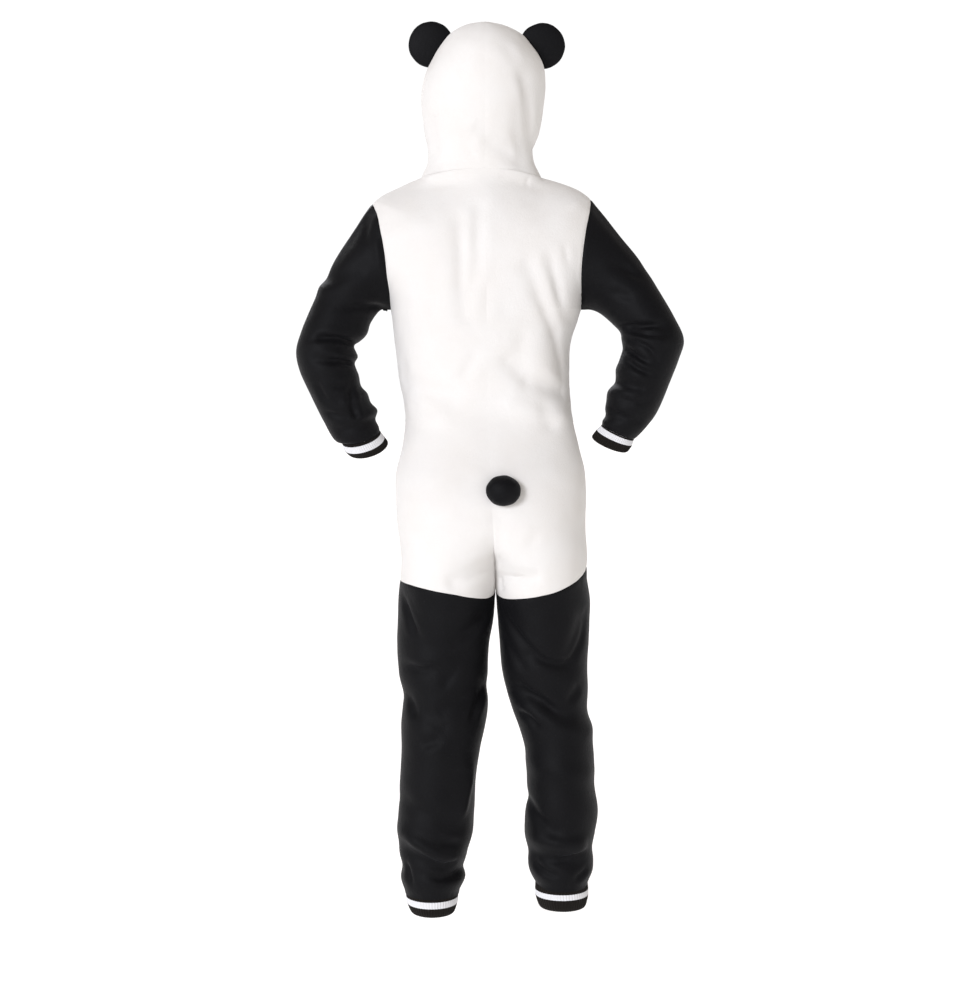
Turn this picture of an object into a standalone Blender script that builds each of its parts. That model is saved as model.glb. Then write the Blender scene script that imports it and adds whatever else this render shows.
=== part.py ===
"""Hooded fleece onesie with ears, tail and a front zip, in the hollow form that it has when worn.

Metres, +Z up. The origin lies between the shoulders at the height of the neck, the front faces -Y
and the wearer's left is +X. The tables are in millimetres; a "drop" is measured down from the
origin. Every panel is a grid of points on the outside of the garment. Panels that are sewn
together share their seam's points, so one set of normals and folds serves them all.
"""
import math

import bmesh
import bpy
import numpy as np
from mathutils import Matrix, Vector

MM = 0.001
CLOTH = 2.2            # fleece wall
RIB_CLOTH = 2.4        # rib knit wall under its raised ribs
RIB_HEIGHT = 1.0
RIB_COUNT = 32         # round each cuff
SEAM_GAP = 0.3         # clear width between sewn pieces
ZIP_HALF = 7.0         # half the width of the zip tape that shows

PANEL_COLUMNS = 10     # from the centre seam to the side
NECK_COLUMNS = 5       # of them, those that end at the neckline
YOKE_ROWS = 9          # from the shoulder to the underarm
BODY_ROWS = 18         # from the underarm to the crotch
ZIP_ROWS = 13          # of them, those beside the zip
SLEEVE_ROWS = 22
LEG_ROWS = 21
HOOD_ROWS = 13

UNDERARM = 187.0       # drops
CROTCH = 618.0
LEG_END = {"left": 1089.0, "right": 1077.0}

SHOULDER_ROLL = 0.45   # share of the yoke over which the cloth turns down at the neck
TIP_ROLL = 0.02        # the same at the shoulder's tip
NECK_FADE = 0.12       # share of the yoke over which the neckline's corner turns soft
SLEEVE_HEAD = 0.3      # share of the sleeve that turns from the armhole's shape to its own
LEG_HEAD = 0.25        # the same of the leg, from the thigh line's shape
STILL_ROWS = 1.5       # rows over which folds die out towards a cuff
EAR_RADIUS = 35.3
EAR_HALF_DEPTH = 9.0
EAR_PLACE = {"left": (77.4, -4.0, 216.4), "right": (-92.0, -4.0, 214.0)}
EAR_SEAT = (0.87, 0.49)          # outwards and up, square to the seam that holds the ear
TAIL_RADII = (26.0, 20.0, 23.0)
TAIL_PLACE = (-32.0, 458.0)      # x and drop on the seat
TAIL_SUNK = 0.35                 # share of its depth that is sewn flat against the seat

BALL_SEGMENTS = (18, 10)         # round and from pole to pole, of an ear or the tail

# The zip's slider and pull tab: sizes across, through and along the zip.
SLIDER_ROW = 2                   # row of the zip tape that the slider sits on
SLIDER_SIZE = (9.0, 3.0, 13.0)
LUG_SIZE = (1.4, 5.6, 4.4)       # the two lugs that carry the pin
LUG_SUNK = 0.5                   # into the slider's plate
PIN_RADIUS = 0.8
PIN_CLEARANCE = 0.5              # from the eye to the slider's plate
EYE_HOLE = 1.4                   # radii of the eye that hangs on the pin
EYE_RADIUS = 2.6
EYE_WIDTH = 3.6
EYE_SIDE_GAP = 0.4               # from the eye to each lug
NECK_SIZE = (3.0, 1.6, 12.0)     # the pull tab's narrow upper part and its wide end
TAB_SIZE = (7.0, 2.0, 18.0)

MITRE_LIMIT = 1.4                # how far a mitred corner may reach, in wall thicknesses
WELD = 0.02                      # points this near each other share one normal
WELD_OFFSET = 0.137              # keeps round numbers off the limits between two welding steps

SIDES = {"left": 1, "right": -1}
FACES = {"back": 1, "front": -1}


def table(names, *rows):
    """A table with named columns."""
    return {name: np.array(column, float) for name, column in zip(names.split(), zip(*rows))}


# One row per level of the body: its centre line, half widths and depths, how far the two halves
# have parted into closed leg rings (split 1), and how square the section is (2 is an ellipse).
BODY = table("drop middle left right back front split square",
             (187, -7, 147, 145, 92, 97, 0.00, 2.60),
             (240, -8, 141, 128, 93, 98, 0.00, 2.50),
             (290, -8, 137, 126, 87, 98, 0.00, 2.42),
             (345, -9, 127, 129, 80, 98, 0.00, 2.40),
             (395, -11, 134, 138, 92, 100, 0.00, 2.40),
             (440, -14, 147, 145, 107, 101, 0.03, 2.42),
             (480, -15, 148, 145, 114, 98, 0.12, 2.42),
             (520, -17, 147, 142, 112, 92, 0.35, 2.36),
             (550, -18, 144, 143, 106, 87, 0.62, 2.24),
             (578, -20, 145, 142, 98, 82, 0.85, 2.08),
             (602, -21, 148, 141, 90, 78, 0.95, 2.00),
             (618, -21, 150, 143, 87, 77, 1.00, 2.00),
             (640, -21, 151, 147, 83, 74, 1.03, 2.00))

# The yoke, from the shoulder seam (level 0) to the underarm (1): half widths at the armhole, and
# depths at the centre and at the armhole's own edge.
YOKE = table("level middle left right back front hole_back hole_front",
             (0.00, -5, 173, 161, 58, 72, 12, 11),
             (0.05, -5, 169, 161, 62, 75, 22, 20),
             (0.12, -5, 164, 159, 67, 79, 38, 34),
             (0.25, -5, 159, 154, 76, 85, 52, 46),
             (0.47, -6, 153, 147, 87, 92, 60, 53),
             (0.70, -6, 149, 144, 92, 96, 52, 47),
             (0.86, -7, 147, 144, 92, 97, 33, 31),
             (0.95, -7, 147, 145, 92, 97, 15, 14),
             (1.00, -7, 147, 145, 92, 97, 0, 0))

# The shoulder seam from the neck (along 0) to the tip (1), as drops.
SHOULDER = table("along left right",
                 (0.0, -14, -14), (0.25, -6, -9), (0.5, 3, -3), (0.8, 14, 7), (1.0, 25.5, 18))

# The hood from the neckline (level 0) to the ridge seam (1). Each row runs from the centre back
# round the side to the edge of the face opening.
HOOD = table("level back back_drop left right side_drop face_half face face_drop",
             (0.00, 58, -24, 98, 86, -14, 7, 72, 50),
             (0.08, 61, -42, 91, 77, -32, 24, 80, 26),
             (0.17, 70, -64, 90, 74, -54, 44, 87, -6),
             (0.30, 84, -94, 96, 85, -88, 60, 93, -48),
             (0.43, 96, -128, 98, 90, -122, 69, 98, -94),
             (0.57, 102, -162, 95, 92, -156, 71, 100, -138),
             (0.70, 101, -192, 83, 87, -187, 62, 100, -174),
             (0.81, 93, -215, 68, 71, -213, 45, 98, -200),
             (0.91, 81, -231, 47, 50, -234, 24, 94, -214),
             (0.96, 74, -237, 25, 27, -243, 11, 92, -219),
             (1.00, 67, -241, 0, 0, -247, 0, 90, -222))
HOOD_MIDDLE = -5.0

# The thigh line, where the legs are sewn on: drops at an angle round the leg, 0 at the outside.
HEM = table("angle left right",
            (0, 602.5, 579), (50, 606, 601.5), (90, 614.5, 618.5),
            (120, 623, 625), (150, 628, 628), (180, 625, 625))

# Sleeve rings: their outer and inner points as seen from behind, the middle's depth, the half depth
# and how far the ring dips down the arm at the back. The first lies on the armhole and the sixth is
# the elbow.
RING = "outer outer_drop inner inner_drop middle half dip"
SLEEVE = {
    "left": table(RING,
                  (168, 25.5, 140, 187, 0, 60, 0), (202.5, 76, 156, 189, 4, 53, 0), (233.5, 128, 169, 205, 10, 49, 0),
                  (258, 177, 181, 227, 18, 48, 0), (275.5, 221, 191, 241, 25, 47, 0), (283, 252, 194, 258, 28, 47, 1),
                  (276.5, 285, 194, 272, 29, 46, 3), (259.5, 320, 186, 303, 26, 44, 5), (244, 353, 171, 329, 22, 42, 8),
                  (228, 383, 160, 359, 19, 37, 10), (216, 389, 156, 371.5, 18, 32, 10)),
    "right": table(RING,
                   (166, 18, 151, 186, 0, 60, 0), (207, 70, 167, 187, 4, 53, 0), (241.5, 112, 182, 194, 10, 49, 0),
                   (270, 157, 201, 210, 18, 48, 0), (293, 198, 216, 226, 25, 47, 0), (307, 232, 215, 243, 28, 47, 1),
                   (300, 262, 209, 265, 29, 46, 2), (286, 300, 204, 290, 26, 44, 3), (268, 341, 192, 322, 22, 42, 4),
                   (252, 365, 187, 346, 20, 36, 4), (234, 385, 183, 362, 18, 30, 4)),
}
# Cuff rings from the end that is sewn into the sleeve to the open end.
SLEEVE_CUFF = {
    "left": table(RING,
                  (214, 388.7, 157.8, 372.4, 18, 30, 10), (211, 399.5, 151, 382, 17, 31, 12),
                  (203, 407.5, 144, 391, 16, 29, 13)),
    "right": table(RING,
                   (232.1, 384.5, 184.7, 363.1, 18, 28, 4), (229, 394.5, 176, 372, 17, 29, 5.5),
                   (222.5, 404, 168.5, 382, 16, 28, 6.5)),
}

# Leg rings: outer and inner edge across the wearer, and depths behind and in front.
LEG = {
    "left": table("drop outer inner back front",
                  (600, 128, -20, 92, 79), (635, 131, -20.5, 84, 77), (665, 131, -18, 80, 75), (697, 132, -12.5, 76, 72),
                  (747, 129.5, -9, 68, 68), (775, 123, -8.5, 64, 66), (800, 123.5, -8.5, 64, 61),
                  (830, 126, -5, 66, 58), (865, 126, 2, 67, 53), (915, 129, 10, 66, 46),
                  (960, 130, 12.5, 64, 43), (1005, 131, 15.5, 60, 42), (1030, 130, 23.5, 57, 42),
                  (1050, 125, 28, 54, 41), (1068, 127, 26, 54, 42), (1089, 121, 35, 49, 39)),
    "right": table("drop outer inner back front",
                   (600, 161, 20, 92, 79), (635, 167, 22, 84, 77), (665, 167, 24, 80, 75), (697, 166, 26.5, 76, 72),
                   (747, 164, 31.5, 68, 68), (775, 165, 38, 64, 66), (805, 164, 48.5, 63, 61),
                   (835, 170.5, 58.5, 65, 58), (870, 173.5, 67, 66, 53), (920, 175, 69.5, 65, 47),
                   (965, 181, 67, 63, 44), (1000, 176, 66.5, 59, 43), (1020, 172.5, 70, 56, 42),
                   (1040, 174, 71.5, 54, 42), (1058, 173, 74.5, 53, 42), (1077, 165, 84, 48, 39)),
}
ANKLE_CUFF = {
    "left": table("drop outer inner back front",
                  (1089, 118, 38, 46, 37), (1107, 117, 39, 46, 37), (1124, 110, 44, 41, 33)),
    "right": table("drop outer inner back front",
                   (1077, 164, 84, 45, 37), (1096, 165, 84, 45, 37), (1115, 161, 90, 40, 33)),
}

# Folds: face (1 back, -1 front, 0 both), the fold's line from (x, drop) to (to_x, to_drop), its
# half width, and how far the cloth rises (+) or sinks (-) along it.
FOLD = "face x drop to_x to_drop width rise"
FOLDS = {
    "body": table(FOLD,
                  (1, 33, 60, 30, 180, 15, -4), (1, 4, 40, 26, 195, 14, -3),
                  (1, -70, 125, -113, 225, 15, -5), (1, -113, 225, -128, 305, 14, -6),
                  (1, -103, 115, -126, 200, 13, -3), (1, -40, 268, -70, 296, 13, -5),
                  (1, -70, 296, -124, 312, 13, -6), (1, -46, 330, -118, 352, 17, 5),
                  (1, 108, 300, 48, 318, 15, -4), (1, 110, 332, 60, 350, 17, 4),
                  (1, -21, 570, 42, 600, 13, -5), (1, -28, 590, -76, 590, 12, -5),
                  (1, -22, 500, -22, 560, 11, -4),
                  (-1, 60, 110, 92, 215, 15, -4), (-1, -66, 120, -104, 230, 15, -4),
                  (-1, 108, 300, 34, 330, 15, -5), (-1, -118, 296, -40, 334, 15, -5),
                  (-1, 90, 345, 20, 372, 17, 4), (-1, -100, 342, -30, 376, 17, 4),
                  (-1, 20, 560, 70, 596, 14, -5), (-1, -62, 560, -112, 596, 14, -5)),
    "hood": table(FOLD,
                  (0, -64, -150, -62, -40, 14, -5), (1, 4, -78, -60, -32, 13, -4),
                  (0, 80, -96, 72, -34, 14, -4)),
    "sleeve_left": table(FOLD,
                         (0, 186, 128, 236, 142, 13, -3), (0, 256, 150, 238, 156, 9, 4),
                         (0, 178, 222, 198, 221, 11, 3),
                         (0, 198, 242, 240, 232, 9, -4), (0, 192, 259, 214, 258, 7, 4),
                         (0, 204, 270, 250, 262, 8, -3), (0, 188, 287, 208, 296, 10, 2),
                         (0, 178, 316, 204, 330, 9, 3), (0, 163, 341, 190, 354, 9, 6),
                         (0, 166, 355, 214, 372, 7, -3)),
    "sleeve_right": table(FOLD,
                          (0, -202, 122, -236, 132, 13, -3), (0, -224, 212, -272, 216, 10, -4),
                          (0, -218, 230, -268, 236, 12, 4), (0, -224, 251, -260, 264, 9, -3),
                          (0, -206, 278, -236, 288, 10, 3), (0, -206, 300, -240, 306, 7, -3),
                          (0, -194, 313, -230, 326, 10, 3), (0, -188, 348, -236, 356, 7, -3)),
    "leg_left": table(FOLD,
                      (1, 120, 632, 96, 690, 14, -4), (0, 113, 738, 56, 742, 14, -4),
                      (1, 2, 652, 40, 692, 15, -5), (0, 4, 767, 60, 800, 14, -5),
                      (0, 110, 786, 60, 822, 14, -4), (1, 22, 890, 34, 968, 15, 4),
                      (0, 118, 992, 44, 1030, 14, 5), (0, 112, 1022, 40, 1052, 11, -5),
                      (0, 116, 944, 40, 976, 14, -4), (1, 106, 690, 20, 712, 16, -4)),
    "leg_right": table(FOLD,
                       (1, -32, 640, -70, 712, 14, -5), (1, -70, 712, -132, 730, 14, -6),
                       (1, -132, 730, -156, 660, 14, -5), (0, -58, 768, -122, 808, 14, -5),
                       (0, -70, 796, -158, 836, 14, 4), (0, -72, 942, -108, 984, 14, -4),
                       (0, -86, 998, -148, 1012, 14, 5), (0, -82, 1028, -150, 1036, 11, -5),
                       (0, -80, 884, -160, 900, 15, 3)),
}

WHITE_FLEECE = ("white_fleece", (0.91, 0.90, 0.89), 0.95, 0.0)
BLACK_FLEECE = ("black_fleece", (0.012, 0.012, 0.014), 0.95, 0.0)
BLACK_RIB = ("black_rib_knit", (0.014, 0.013, 0.013), 0.9, 0.0)
ZIP_TAPE = ("zip_tape", (0.85, 0.85, 0.84), 0.8, 0.0)
ZIP_METAL = ("zip_metal", (0.80, 0.80, 0.80), 0.35, 0.6)


def smooth(knots, values, at):
    """A cubic through the values, with slopes taken from the neighbouring rows."""
    at = np.clip(np.asarray(at, float), knots[0], knots[-1])
    slopes = np.gradient(values, knots)
    low = np.clip(np.searchsorted(knots, at, side="right") - 1, 0, len(knots) - 2)
    step = knots[low + 1] - knots[low]
    t = (at - knots[low]) / step
    return ((2 * t**3 - 3 * t**2 + 1) * values[low] + (t**3 - 2 * t**2 + t) * step * slopes[low]
            + (3 * t**2 - 2 * t**3) * values[low + 1] + (t**3 - t**2) * step * slopes[low + 1])


def read(rows, key, name, at):
    return smooth(rows[key], rows[name], at)


def ease(t):
    t = np.clip(t, 0, 1)
    return t * t * (3 - 2 * t)


def power(value, exponent):
    return np.sign(value) * np.abs(value) ** exponent


def hood_row(side, level, along):
    """Points of one hood row; along runs from the centre back (0) to the face opening (1)."""
    value = {name: float(read(HOOD, "level", name, level)) for name in HOOD}
    half = max(value[side], 1e-6)
    back_turn = np.pi * np.minimum(along, 0.5)
    end = math.acos(min(max(value["face_half"], 0) / half, 1)) if level < 1 else math.pi / 2
    front_turn = end * np.clip(2 * along - 1, 0, 1)
    front = along > 0.5
    x = np.where(front, half * np.cos(front_turn), half * np.sin(back_turn))
    y = np.where(front, -value["face"] / math.sin(end) * np.sin(front_turn),
                 value["back"] * np.cos(back_turn))
    front_drop = (value["face_drop"] - value["side_drop"]) * (np.sin(front_turn) / math.sin(end)) ** 2
    back_drop = (value["back_drop"] - value["side_drop"]) * np.cos(back_turn) ** 2
    drop = value["side_drop"] + np.where(front, front_drop, back_drop)
    return np.stack([HOOD_MIDDLE + SIDES[side] * x, y, -drop], axis=-1)


def top_edge(side, face):
    """The neckline from the centre to the neck point, then the shoulder seam to its tip."""
    share = np.linspace(0, 0.5, NECK_COLUMNS + 1)
    neck = hood_row(side, 0, share if face == "back" else 1 - share)
    along = np.linspace(0, 1, PANEL_COLUMNS - NECK_COLUMNS + 1)[1:]
    tip = HOOD_MIDDLE + SIDES[side] * YOKE[side][0]
    x = neck[-1, 0] + (tip - neck[-1, 0]) * along
    drop = read(SHOULDER, "along", side, along)
    return np.vstack([neck, np.stack([x, 0 * x, -drop], axis=-1)])


def body_points(side, face, drop, share, gap):
    """Points of the lower body; share runs from the centre seam (0) to the side seam (1)."""
    width = read(BODY, "drop", side, drop)
    split = read(BODY, "drop", "split", drop)
    bend = 2 / read(BODY, "drop", "square", drop)
    radius = width / (1 + split)
    start = np.arccos(np.clip(power((gap - width + radius) / radius, 1 / bend), -1, 1))
    turn = start * (1 - share)
    x = width - radius + radius * power(np.cos(turn), bend)
    y = FACES[face] * read(BODY, "drop", face, drop) * np.abs(np.sin(turn)) ** bend
    return np.stack([read(BODY, "drop", "middle", drop) + SIDES[side] * x, y, -drop], axis=-1)


def yoke_row(side, face, level, gap):
    top = top_edge(side, face)
    share = np.linspace(0, 1, PANEL_COLUMNS + 1)
    value = {name: float(read(YOKE, "level", name, level)) for name in YOKE}
    low = body_points(side, face, np.full(share.shape, UNDERARM), share, gap)
    low_part = np.abs(low[:, 0] - BODY["middle"][0]) / BODY[side][0]
    high_part = np.abs(top[:, 0] - HOOD_MIDDLE) / YOKE[side][0]
    x = value[side] * (high_part + (low_part - high_part) * ease(level))
    square = BODY["square"][0]
    edge = max(value["hole_" + face], 0) / value[face]
    reach = value[side] / (1 - edge**square) ** (1 / square)
    full = value[face] * (1 - np.minimum(x / reach, 1) ** square) ** (1 / square)
    past_neck = np.clip((share * PANEL_COLUMNS - NECK_COLUMNS) / (PANEL_COLUMNS - NECK_COLUMNS), 0, 1)
    span = SHOULDER_ROLL * (1 - past_neck) + TIP_ROLL
    roll = np.sqrt(1 - (1 - np.minimum(level / span, 1)) ** 2)
    neck = np.abs(top[:, 1])
    from_middle = np.minimum(np.abs((top[:, 0] - HOOD_MIDDLE) / (top[NECK_COLUMNS, 0] - HOOD_MIDDLE)), 1)
    neck = neck + (neck[0] * (1 - ease(from_middle)) - neck) * ease(level / NECK_FADE)
    y = neck + (full - neck) * roll
    z = top[:, 2] * (1 - level) - UNDERARM * level
    return np.stack([value["middle"] + SIDES[side] * x, FACES[face] * y, z], axis=-1)


def hem_drop(side, turn):
    """The thigh line's drop at an angle round the leg, 0 at the outside and pi at the inside."""
    return read(HEM, "angle", side, np.abs(np.degrees(turn)))


def body_panel(side, face):
    zip_side = face == "front"
    levels = (1 - np.cos(np.pi * np.arange(YOKE_ROWS + 1) / YOKE_ROWS)) / 2
    rows = [yoke_row(side, face, level, ZIP_HALF * zip_side) for level in levels]
    share = np.linspace(0, 1, PANEL_COLUMNS + 1)
    hem = hem_drop(side, np.pi * (1 - share))
    crotch_level = (CROTCH - UNDERARM) / (HEM[side][-1] - UNDERARM)
    for row in range(1, BODY_ROWS + 2):
        level = row / BODY_ROWS * crotch_level if row <= BODY_ROWS else 1
        gap = ZIP_HALF if zip_side and row <= ZIP_ROWS else 0
        rows.append(body_points(side, face, UNDERARM + (hem - UNDERARM) * level, share, gap))
    return np.array(rows)


def hood_panel(side):
    along = np.linspace(0, 1, 2 * NECK_COLUMNS + 1)
    return np.array([hood_row(side, row / HOOD_ROWS, along) for row in range(HOOD_ROWS + 1)])


def ring_points(side, rows, at, turn):
    """A ring across a sleeve; turn 0 is its outer point and pi its inner one."""
    knots = np.arange(len(rows["outer"]), dtype=float)
    value = {name: float(smooth(knots, rows[name], at)) for name in rows}
    out = (1 + np.cos(turn)) / 2
    x = value["inner"] + (value["outer"] - value["inner"]) * out
    drop = value["inner_drop"] + (value["outer_drop"] - value["inner_drop"]) * out
    across = np.array([value["outer"] - value["inner"], value["outer_drop"] - value["inner_drop"]])
    dip = value["dip"] * np.sin(turn) / np.linalg.norm(across)
    return np.stack([SIDES[side] * (x - across[1] * dip), value["middle"] + value["half"] * np.sin(turn),
                     -drop - across[0] * dip], axis=-1)


def sleeve_tube(side, back, front):
    hole = np.vstack([back[:YOKE_ROWS + 1, -1], front[YOKE_ROWS - 1:0:-1, -1]])
    turn = 2 * np.pi * np.arange(2 * YOKE_ROWS) / (2 * YOKE_ROWS)
    off = hole - ring_points(side, SLEEVE[side], 0, turn)
    rows = []
    for row in range(SLEEVE_ROWS + 1):
        at = row / SLEEVE_ROWS
        ring = ring_points(side, SLEEVE[side], at * (len(SLEEVE[side]["outer"]) - 1), turn)
        rows.append(ring + off * (1 - ease(at / SLEEVE_HEAD)))
    return np.array(rows)


def leg_ring(side, rows, drop, turn):
    outer, inner = (read(rows, "drop", name, drop) for name in ("outer", "inner"))
    x = (outer + inner) / 2 + (outer - inner) / 2 * np.cos(turn)
    depth = np.where(np.sin(turn) > 0, read(rows, "drop", "back", drop), read(rows, "drop", "front", drop))
    return np.stack([SIDES[side] * x, depth * np.sin(turn), -drop * np.ones_like(turn)], axis=-1)


def leg_tube(side, back, front):
    hem = np.vstack([back[-1], front[-1, -2:0:-1]])
    turn = np.pi * (1 - np.arange(2 * PANEL_COLUMNS) / PANEL_COLUMNS)
    start = hem_drop(side, turn)
    off = hem - leg_ring(side, LEG[side], start, turn)
    rows = []
    for row in range(LEG_ROWS + 1):
        at = row / LEG_ROWS
        ring = leg_ring(side, LEG[side], start + (LEG_END[side] - start) * at, turn)
        rows.append(ring + off * (1 - ease(at / LEG_HEAD)))
    return np.array(rows)


def zip_strip(left, right):
    rows = slice(0, YOKE_ROWS + ZIP_ROWS + 1)
    middle = (left[rows, 0] + right[rows, 0]) / 2
    middle[-1] = left[YOKE_ROWS + ZIP_ROWS + 1, 0]
    return np.stack([left[rows, 0], middle, right[rows, 0]], axis=1)


def garment_grids():
    """All sewn panels: name, grid, which way its faces turn, whether it closes, its folds."""
    body = {(side, face): body_panel(side, face) for side in SIDES for face in FACES}
    grids = {}
    for (side, face), grid in body.items():
        grids[face + "_" + side] = dict(points=grid, flip=SIDES[side] * FACES[face], closed=False,
                                        folds="body")
    for side, sign in SIDES.items():
        back, front = body[side, "back"], body[side, "front"]
        grids["sleeve_" + side] = dict(points=sleeve_tube(side, back, front), flip=-sign, closed=True,
                                       folds="sleeve_" + side)
        grids["leg_" + side] = dict(points=leg_tube(side, back, front), flip=sign, closed=True,
                                    folds="leg_" + side)
        grids["hood_" + side] = dict(points=hood_panel(side), flip=-sign, closed=False, folds="hood")
    grids["zip_tape"] = dict(points=zip_strip(body["left", "front"], body["right", "front"]), flip=1,
                             closed=False, folds=None)
    return grids


def joint_normals(grids):
    """Normals shared across the seams, with the length that keeps a mitred wall's thickness."""
    places, totals, areas = [], [], []
    for grid in grids.values():
        points = grid["points"]
        if grid["closed"]:
            points = np.concatenate([points, points[:, :1]], axis=1)
        face = np.cross(points[1:, 1:] - points[:-1, :-1], points[1:, :-1] - points[:-1, 1:]) * grid["flip"]
        total = np.zeros_like(points)
        area = np.zeros(points.shape[:2])
        for row in (slice(0, -1), slice(1, None)):
            for column in (slice(0, -1), slice(1, None)):
                total[row, column] += face
                area[row, column] += np.linalg.norm(face, axis=-1)
        places.append(points.reshape(-1, 3))
        totals.append(total.reshape(-1, 3))
        areas.append(area.ravel())
    keys = np.round(np.vstack(places) / WELD + WELD_OFFSET).astype(int)
    shared = np.unique(keys, axis=0, return_inverse=True)[1].ravel()
    summed = np.zeros((shared.max() + 1, 3))
    weight = np.zeros(shared.max() + 1)
    np.add.at(summed, shared, np.vstack(totals))
    np.add.at(weight, shared, np.concatenate(areas))
    length = np.maximum(np.linalg.norm(summed, axis=1), 1e-9)
    normals = summed / length[:, None] * np.clip(weight / length, 1, MITRE_LIMIT)[:, None]
    start = 0
    for grid in grids.values():
        rows, columns = grid["points"].shape[:2]
        count = rows * (columns + grid["closed"])
        part = normals[shared[start:start + count]].reshape(rows, -1, 3)
        grid["normals"] = part[:, :columns]
        start += count


def add_folds(grid):
    """Raise and sink the cloth along its folds, still at the ends that are sewn to a cuff."""
    if grid["folds"] is None:
        return
    points, normals = grid["points"], grid["normals"]
    rise = np.zeros(points.shape[:2])
    folds = FOLDS[grid["folds"]]
    place = np.stack([points[..., 0], -points[..., 2]], axis=-1)
    for face, x, drop, to_x, to_drop, width, height in zip(*folds.values()):
        start, line = np.array([x, drop]), np.array([to_x - x, to_drop - drop])
        along = np.clip((place - start) @ line / (line @ line), 0, 1)
        away = np.linalg.norm(place - start - along[..., None] * line, axis=-1)
        facing = np.clip(2 * face * normals[..., 1], 0, 1) if face else 1
        rise += height * np.exp(-(away / width) ** 2) * facing
    if grid["closed"]:
        rise *= ease((len(points) - 1 - np.arange(len(points))) / STILL_ROWS)[:, None]
    grid["points"] = points + rise[..., None] * normals


def inward(edge, next_in, normals, closed):
    """Unit steps into the panel from one of its edges, square to the edge and to the normal."""
    if closed:
        tangent = np.roll(edge, -1, axis=0) - np.roll(edge, 1, axis=0)
    else:
        tangent = np.gradient(edge, axis=0)
    step = next_in - edge
    for away in (tangent, normals):
        unit = away / np.linalg.norm(away, axis=-1, keepdims=True)
        step = step - (step * unit).sum(axis=-1, keepdims=True) * unit
    return step / np.linalg.norm(step, axis=-1, keepdims=True)


def trimmed(grid):
    """The panel's points, each edge drawn back by half the seam's gap."""
    points, normals = grid["points"], grid["normals"]
    moved = points.copy()
    for edge, next_in in ((0, 1), (-1, -2)):
        step = inward(points[edge], points[next_in], normals[edge], grid["closed"])
        moved[edge] += SEAM_GAP / 2 * step
        if not grid["closed"]:
            step = inward(points[:, edge], points[:, next_in], normals[:, edge], False)
            moved[:, edge] += SEAM_GAP / 2 * step
    return moved


def material(look):
    name, colour, roughness, metallic = look
    made = bpy.data.materials.get(name) or bpy.data.materials.new(name)
    made.use_nodes = True
    shader = made.node_tree.nodes["Principled BSDF"]
    shader.inputs["Base Color"].default_value = (*colour, 1)
    shader.inputs["Roughness"].default_value = roughness
    shader.inputs["Metallic"].default_value = metallic
    return made


def add_object(name, bm, look):
    """Make the named object from a closed bmesh, in the garment's collection."""
    bmesh.ops.recalc_face_normals(bm, faces=bm.faces)
    mesh = bpy.data.meshes.new(name)
    bm.to_mesh(mesh)
    bm.free()
    mesh.shade_smooth()
    made = bpy.data.objects.new(name, mesh)
    made.data.materials.append(material(look))
    bpy.data.collections["onesie"].objects.link(made)
    return made


def wall(name, outer, inner, closed, look):
    """A cloth wall: a grid bent to the outer points, extruded to the inner ones."""
    rows, columns = outer.shape[:2]
    across = columns if closed else columns - 1
    bm = bmesh.new()
    bmesh.ops.create_grid(bm, x_segments=across, y_segments=rows - 1, size=1)
    spot = bm.verts.layers.int.new("spot")
    for vert in bm.verts:
        row = round((1 - vert.co.y) / 2 * (rows - 1))
        column = round((vert.co.x + 1) / 2 * across) % columns
        vert[spot] = row * columns + column
        vert.co = Vector(outer[row, column]) * MM
    if closed:
        bmesh.ops.remove_doubles(bm, verts=bm.verts, dist=1e-7)
    extruded = bmesh.ops.extrude_face_region(bm, geom=bm.faces[:], use_keep_orig=True)
    lining = inner.reshape(-1, 3)
    inside = {part for part in extruded["geom"] if isinstance(part, bmesh.types.BMVert)}
    split_rims(bm, inside)
    for vert in inside:
        vert.co = Vector(lining[vert[spot]]) * MM
    return add_object(name, bm, look)


def split_rims(bm, inside):
    """Cut each rim face across the same corners as the rim of the piece that is sewn to it."""
    for face in bm.faces[:]:
        outside = [vert for vert in face.verts if vert not in inside]
        if len(outside) != 2:
            continue
        run = outside[1].co - outside[0].co
        axis = max(range(3), key=lambda place: abs(run[place]))
        low, high = sorted(outside, key=lambda vert: vert.co[axis])
        across = next(vert for vert in face.verts if vert in inside and (vert.co - high.co).length < 1e-9)
        bmesh.utils.face_split(face, low, across)


def ribbed_cuff(name, rings, look):
    """A tube whose outer points stand up in ribs over a plain inside; rings give its middle line."""
    rings = np.array(rings)
    middle = rings.mean(axis=1, keepdims=True)
    out = rings - middle
    out /= np.linalg.norm(out, axis=-1, keepdims=True)
    ribs = RIB_HEIGHT * (np.arange(rings.shape[1]) % 2 == 0)
    wall(name, rings + out * ribs[None, :, None], rings - out * RIB_CLOTH, True, look)


def padded_ball(name, centre, radii, seat_point, seat_normal, look):
    """A stuffed round piece, cut flat where it is sewn on."""
    bm = bmesh.new()
    bmesh.ops.create_uvsphere(bm, u_segments=BALL_SEGMENTS[0], v_segments=BALL_SEGMENTS[1], radius=1)
    bmesh.ops.scale(bm, vec=Vector(radii) * MM, verts=bm.verts)
    bmesh.ops.translate(bm, vec=Vector(centre) * MM, verts=bm.verts)
    everything = bm.verts[:] + bm.edges[:] + bm.faces[:]
    cut = bmesh.ops.bisect_plane(bm, geom=everything, plane_co=Vector(seat_point) * MM,
                                 plane_no=Vector(seat_normal), clear_inner=True)
    rim = [edge for edge in cut["geom_cut"] if isinstance(edge, bmesh.types.BMEdge)]
    bmesh.ops.holes_fill(bm, edges=rim)
    bmesh.ops.triangulate(bm, faces=[face for face in bm.faces if len(face.verts) > 4])
    add_object(name, bm, look)


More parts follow.
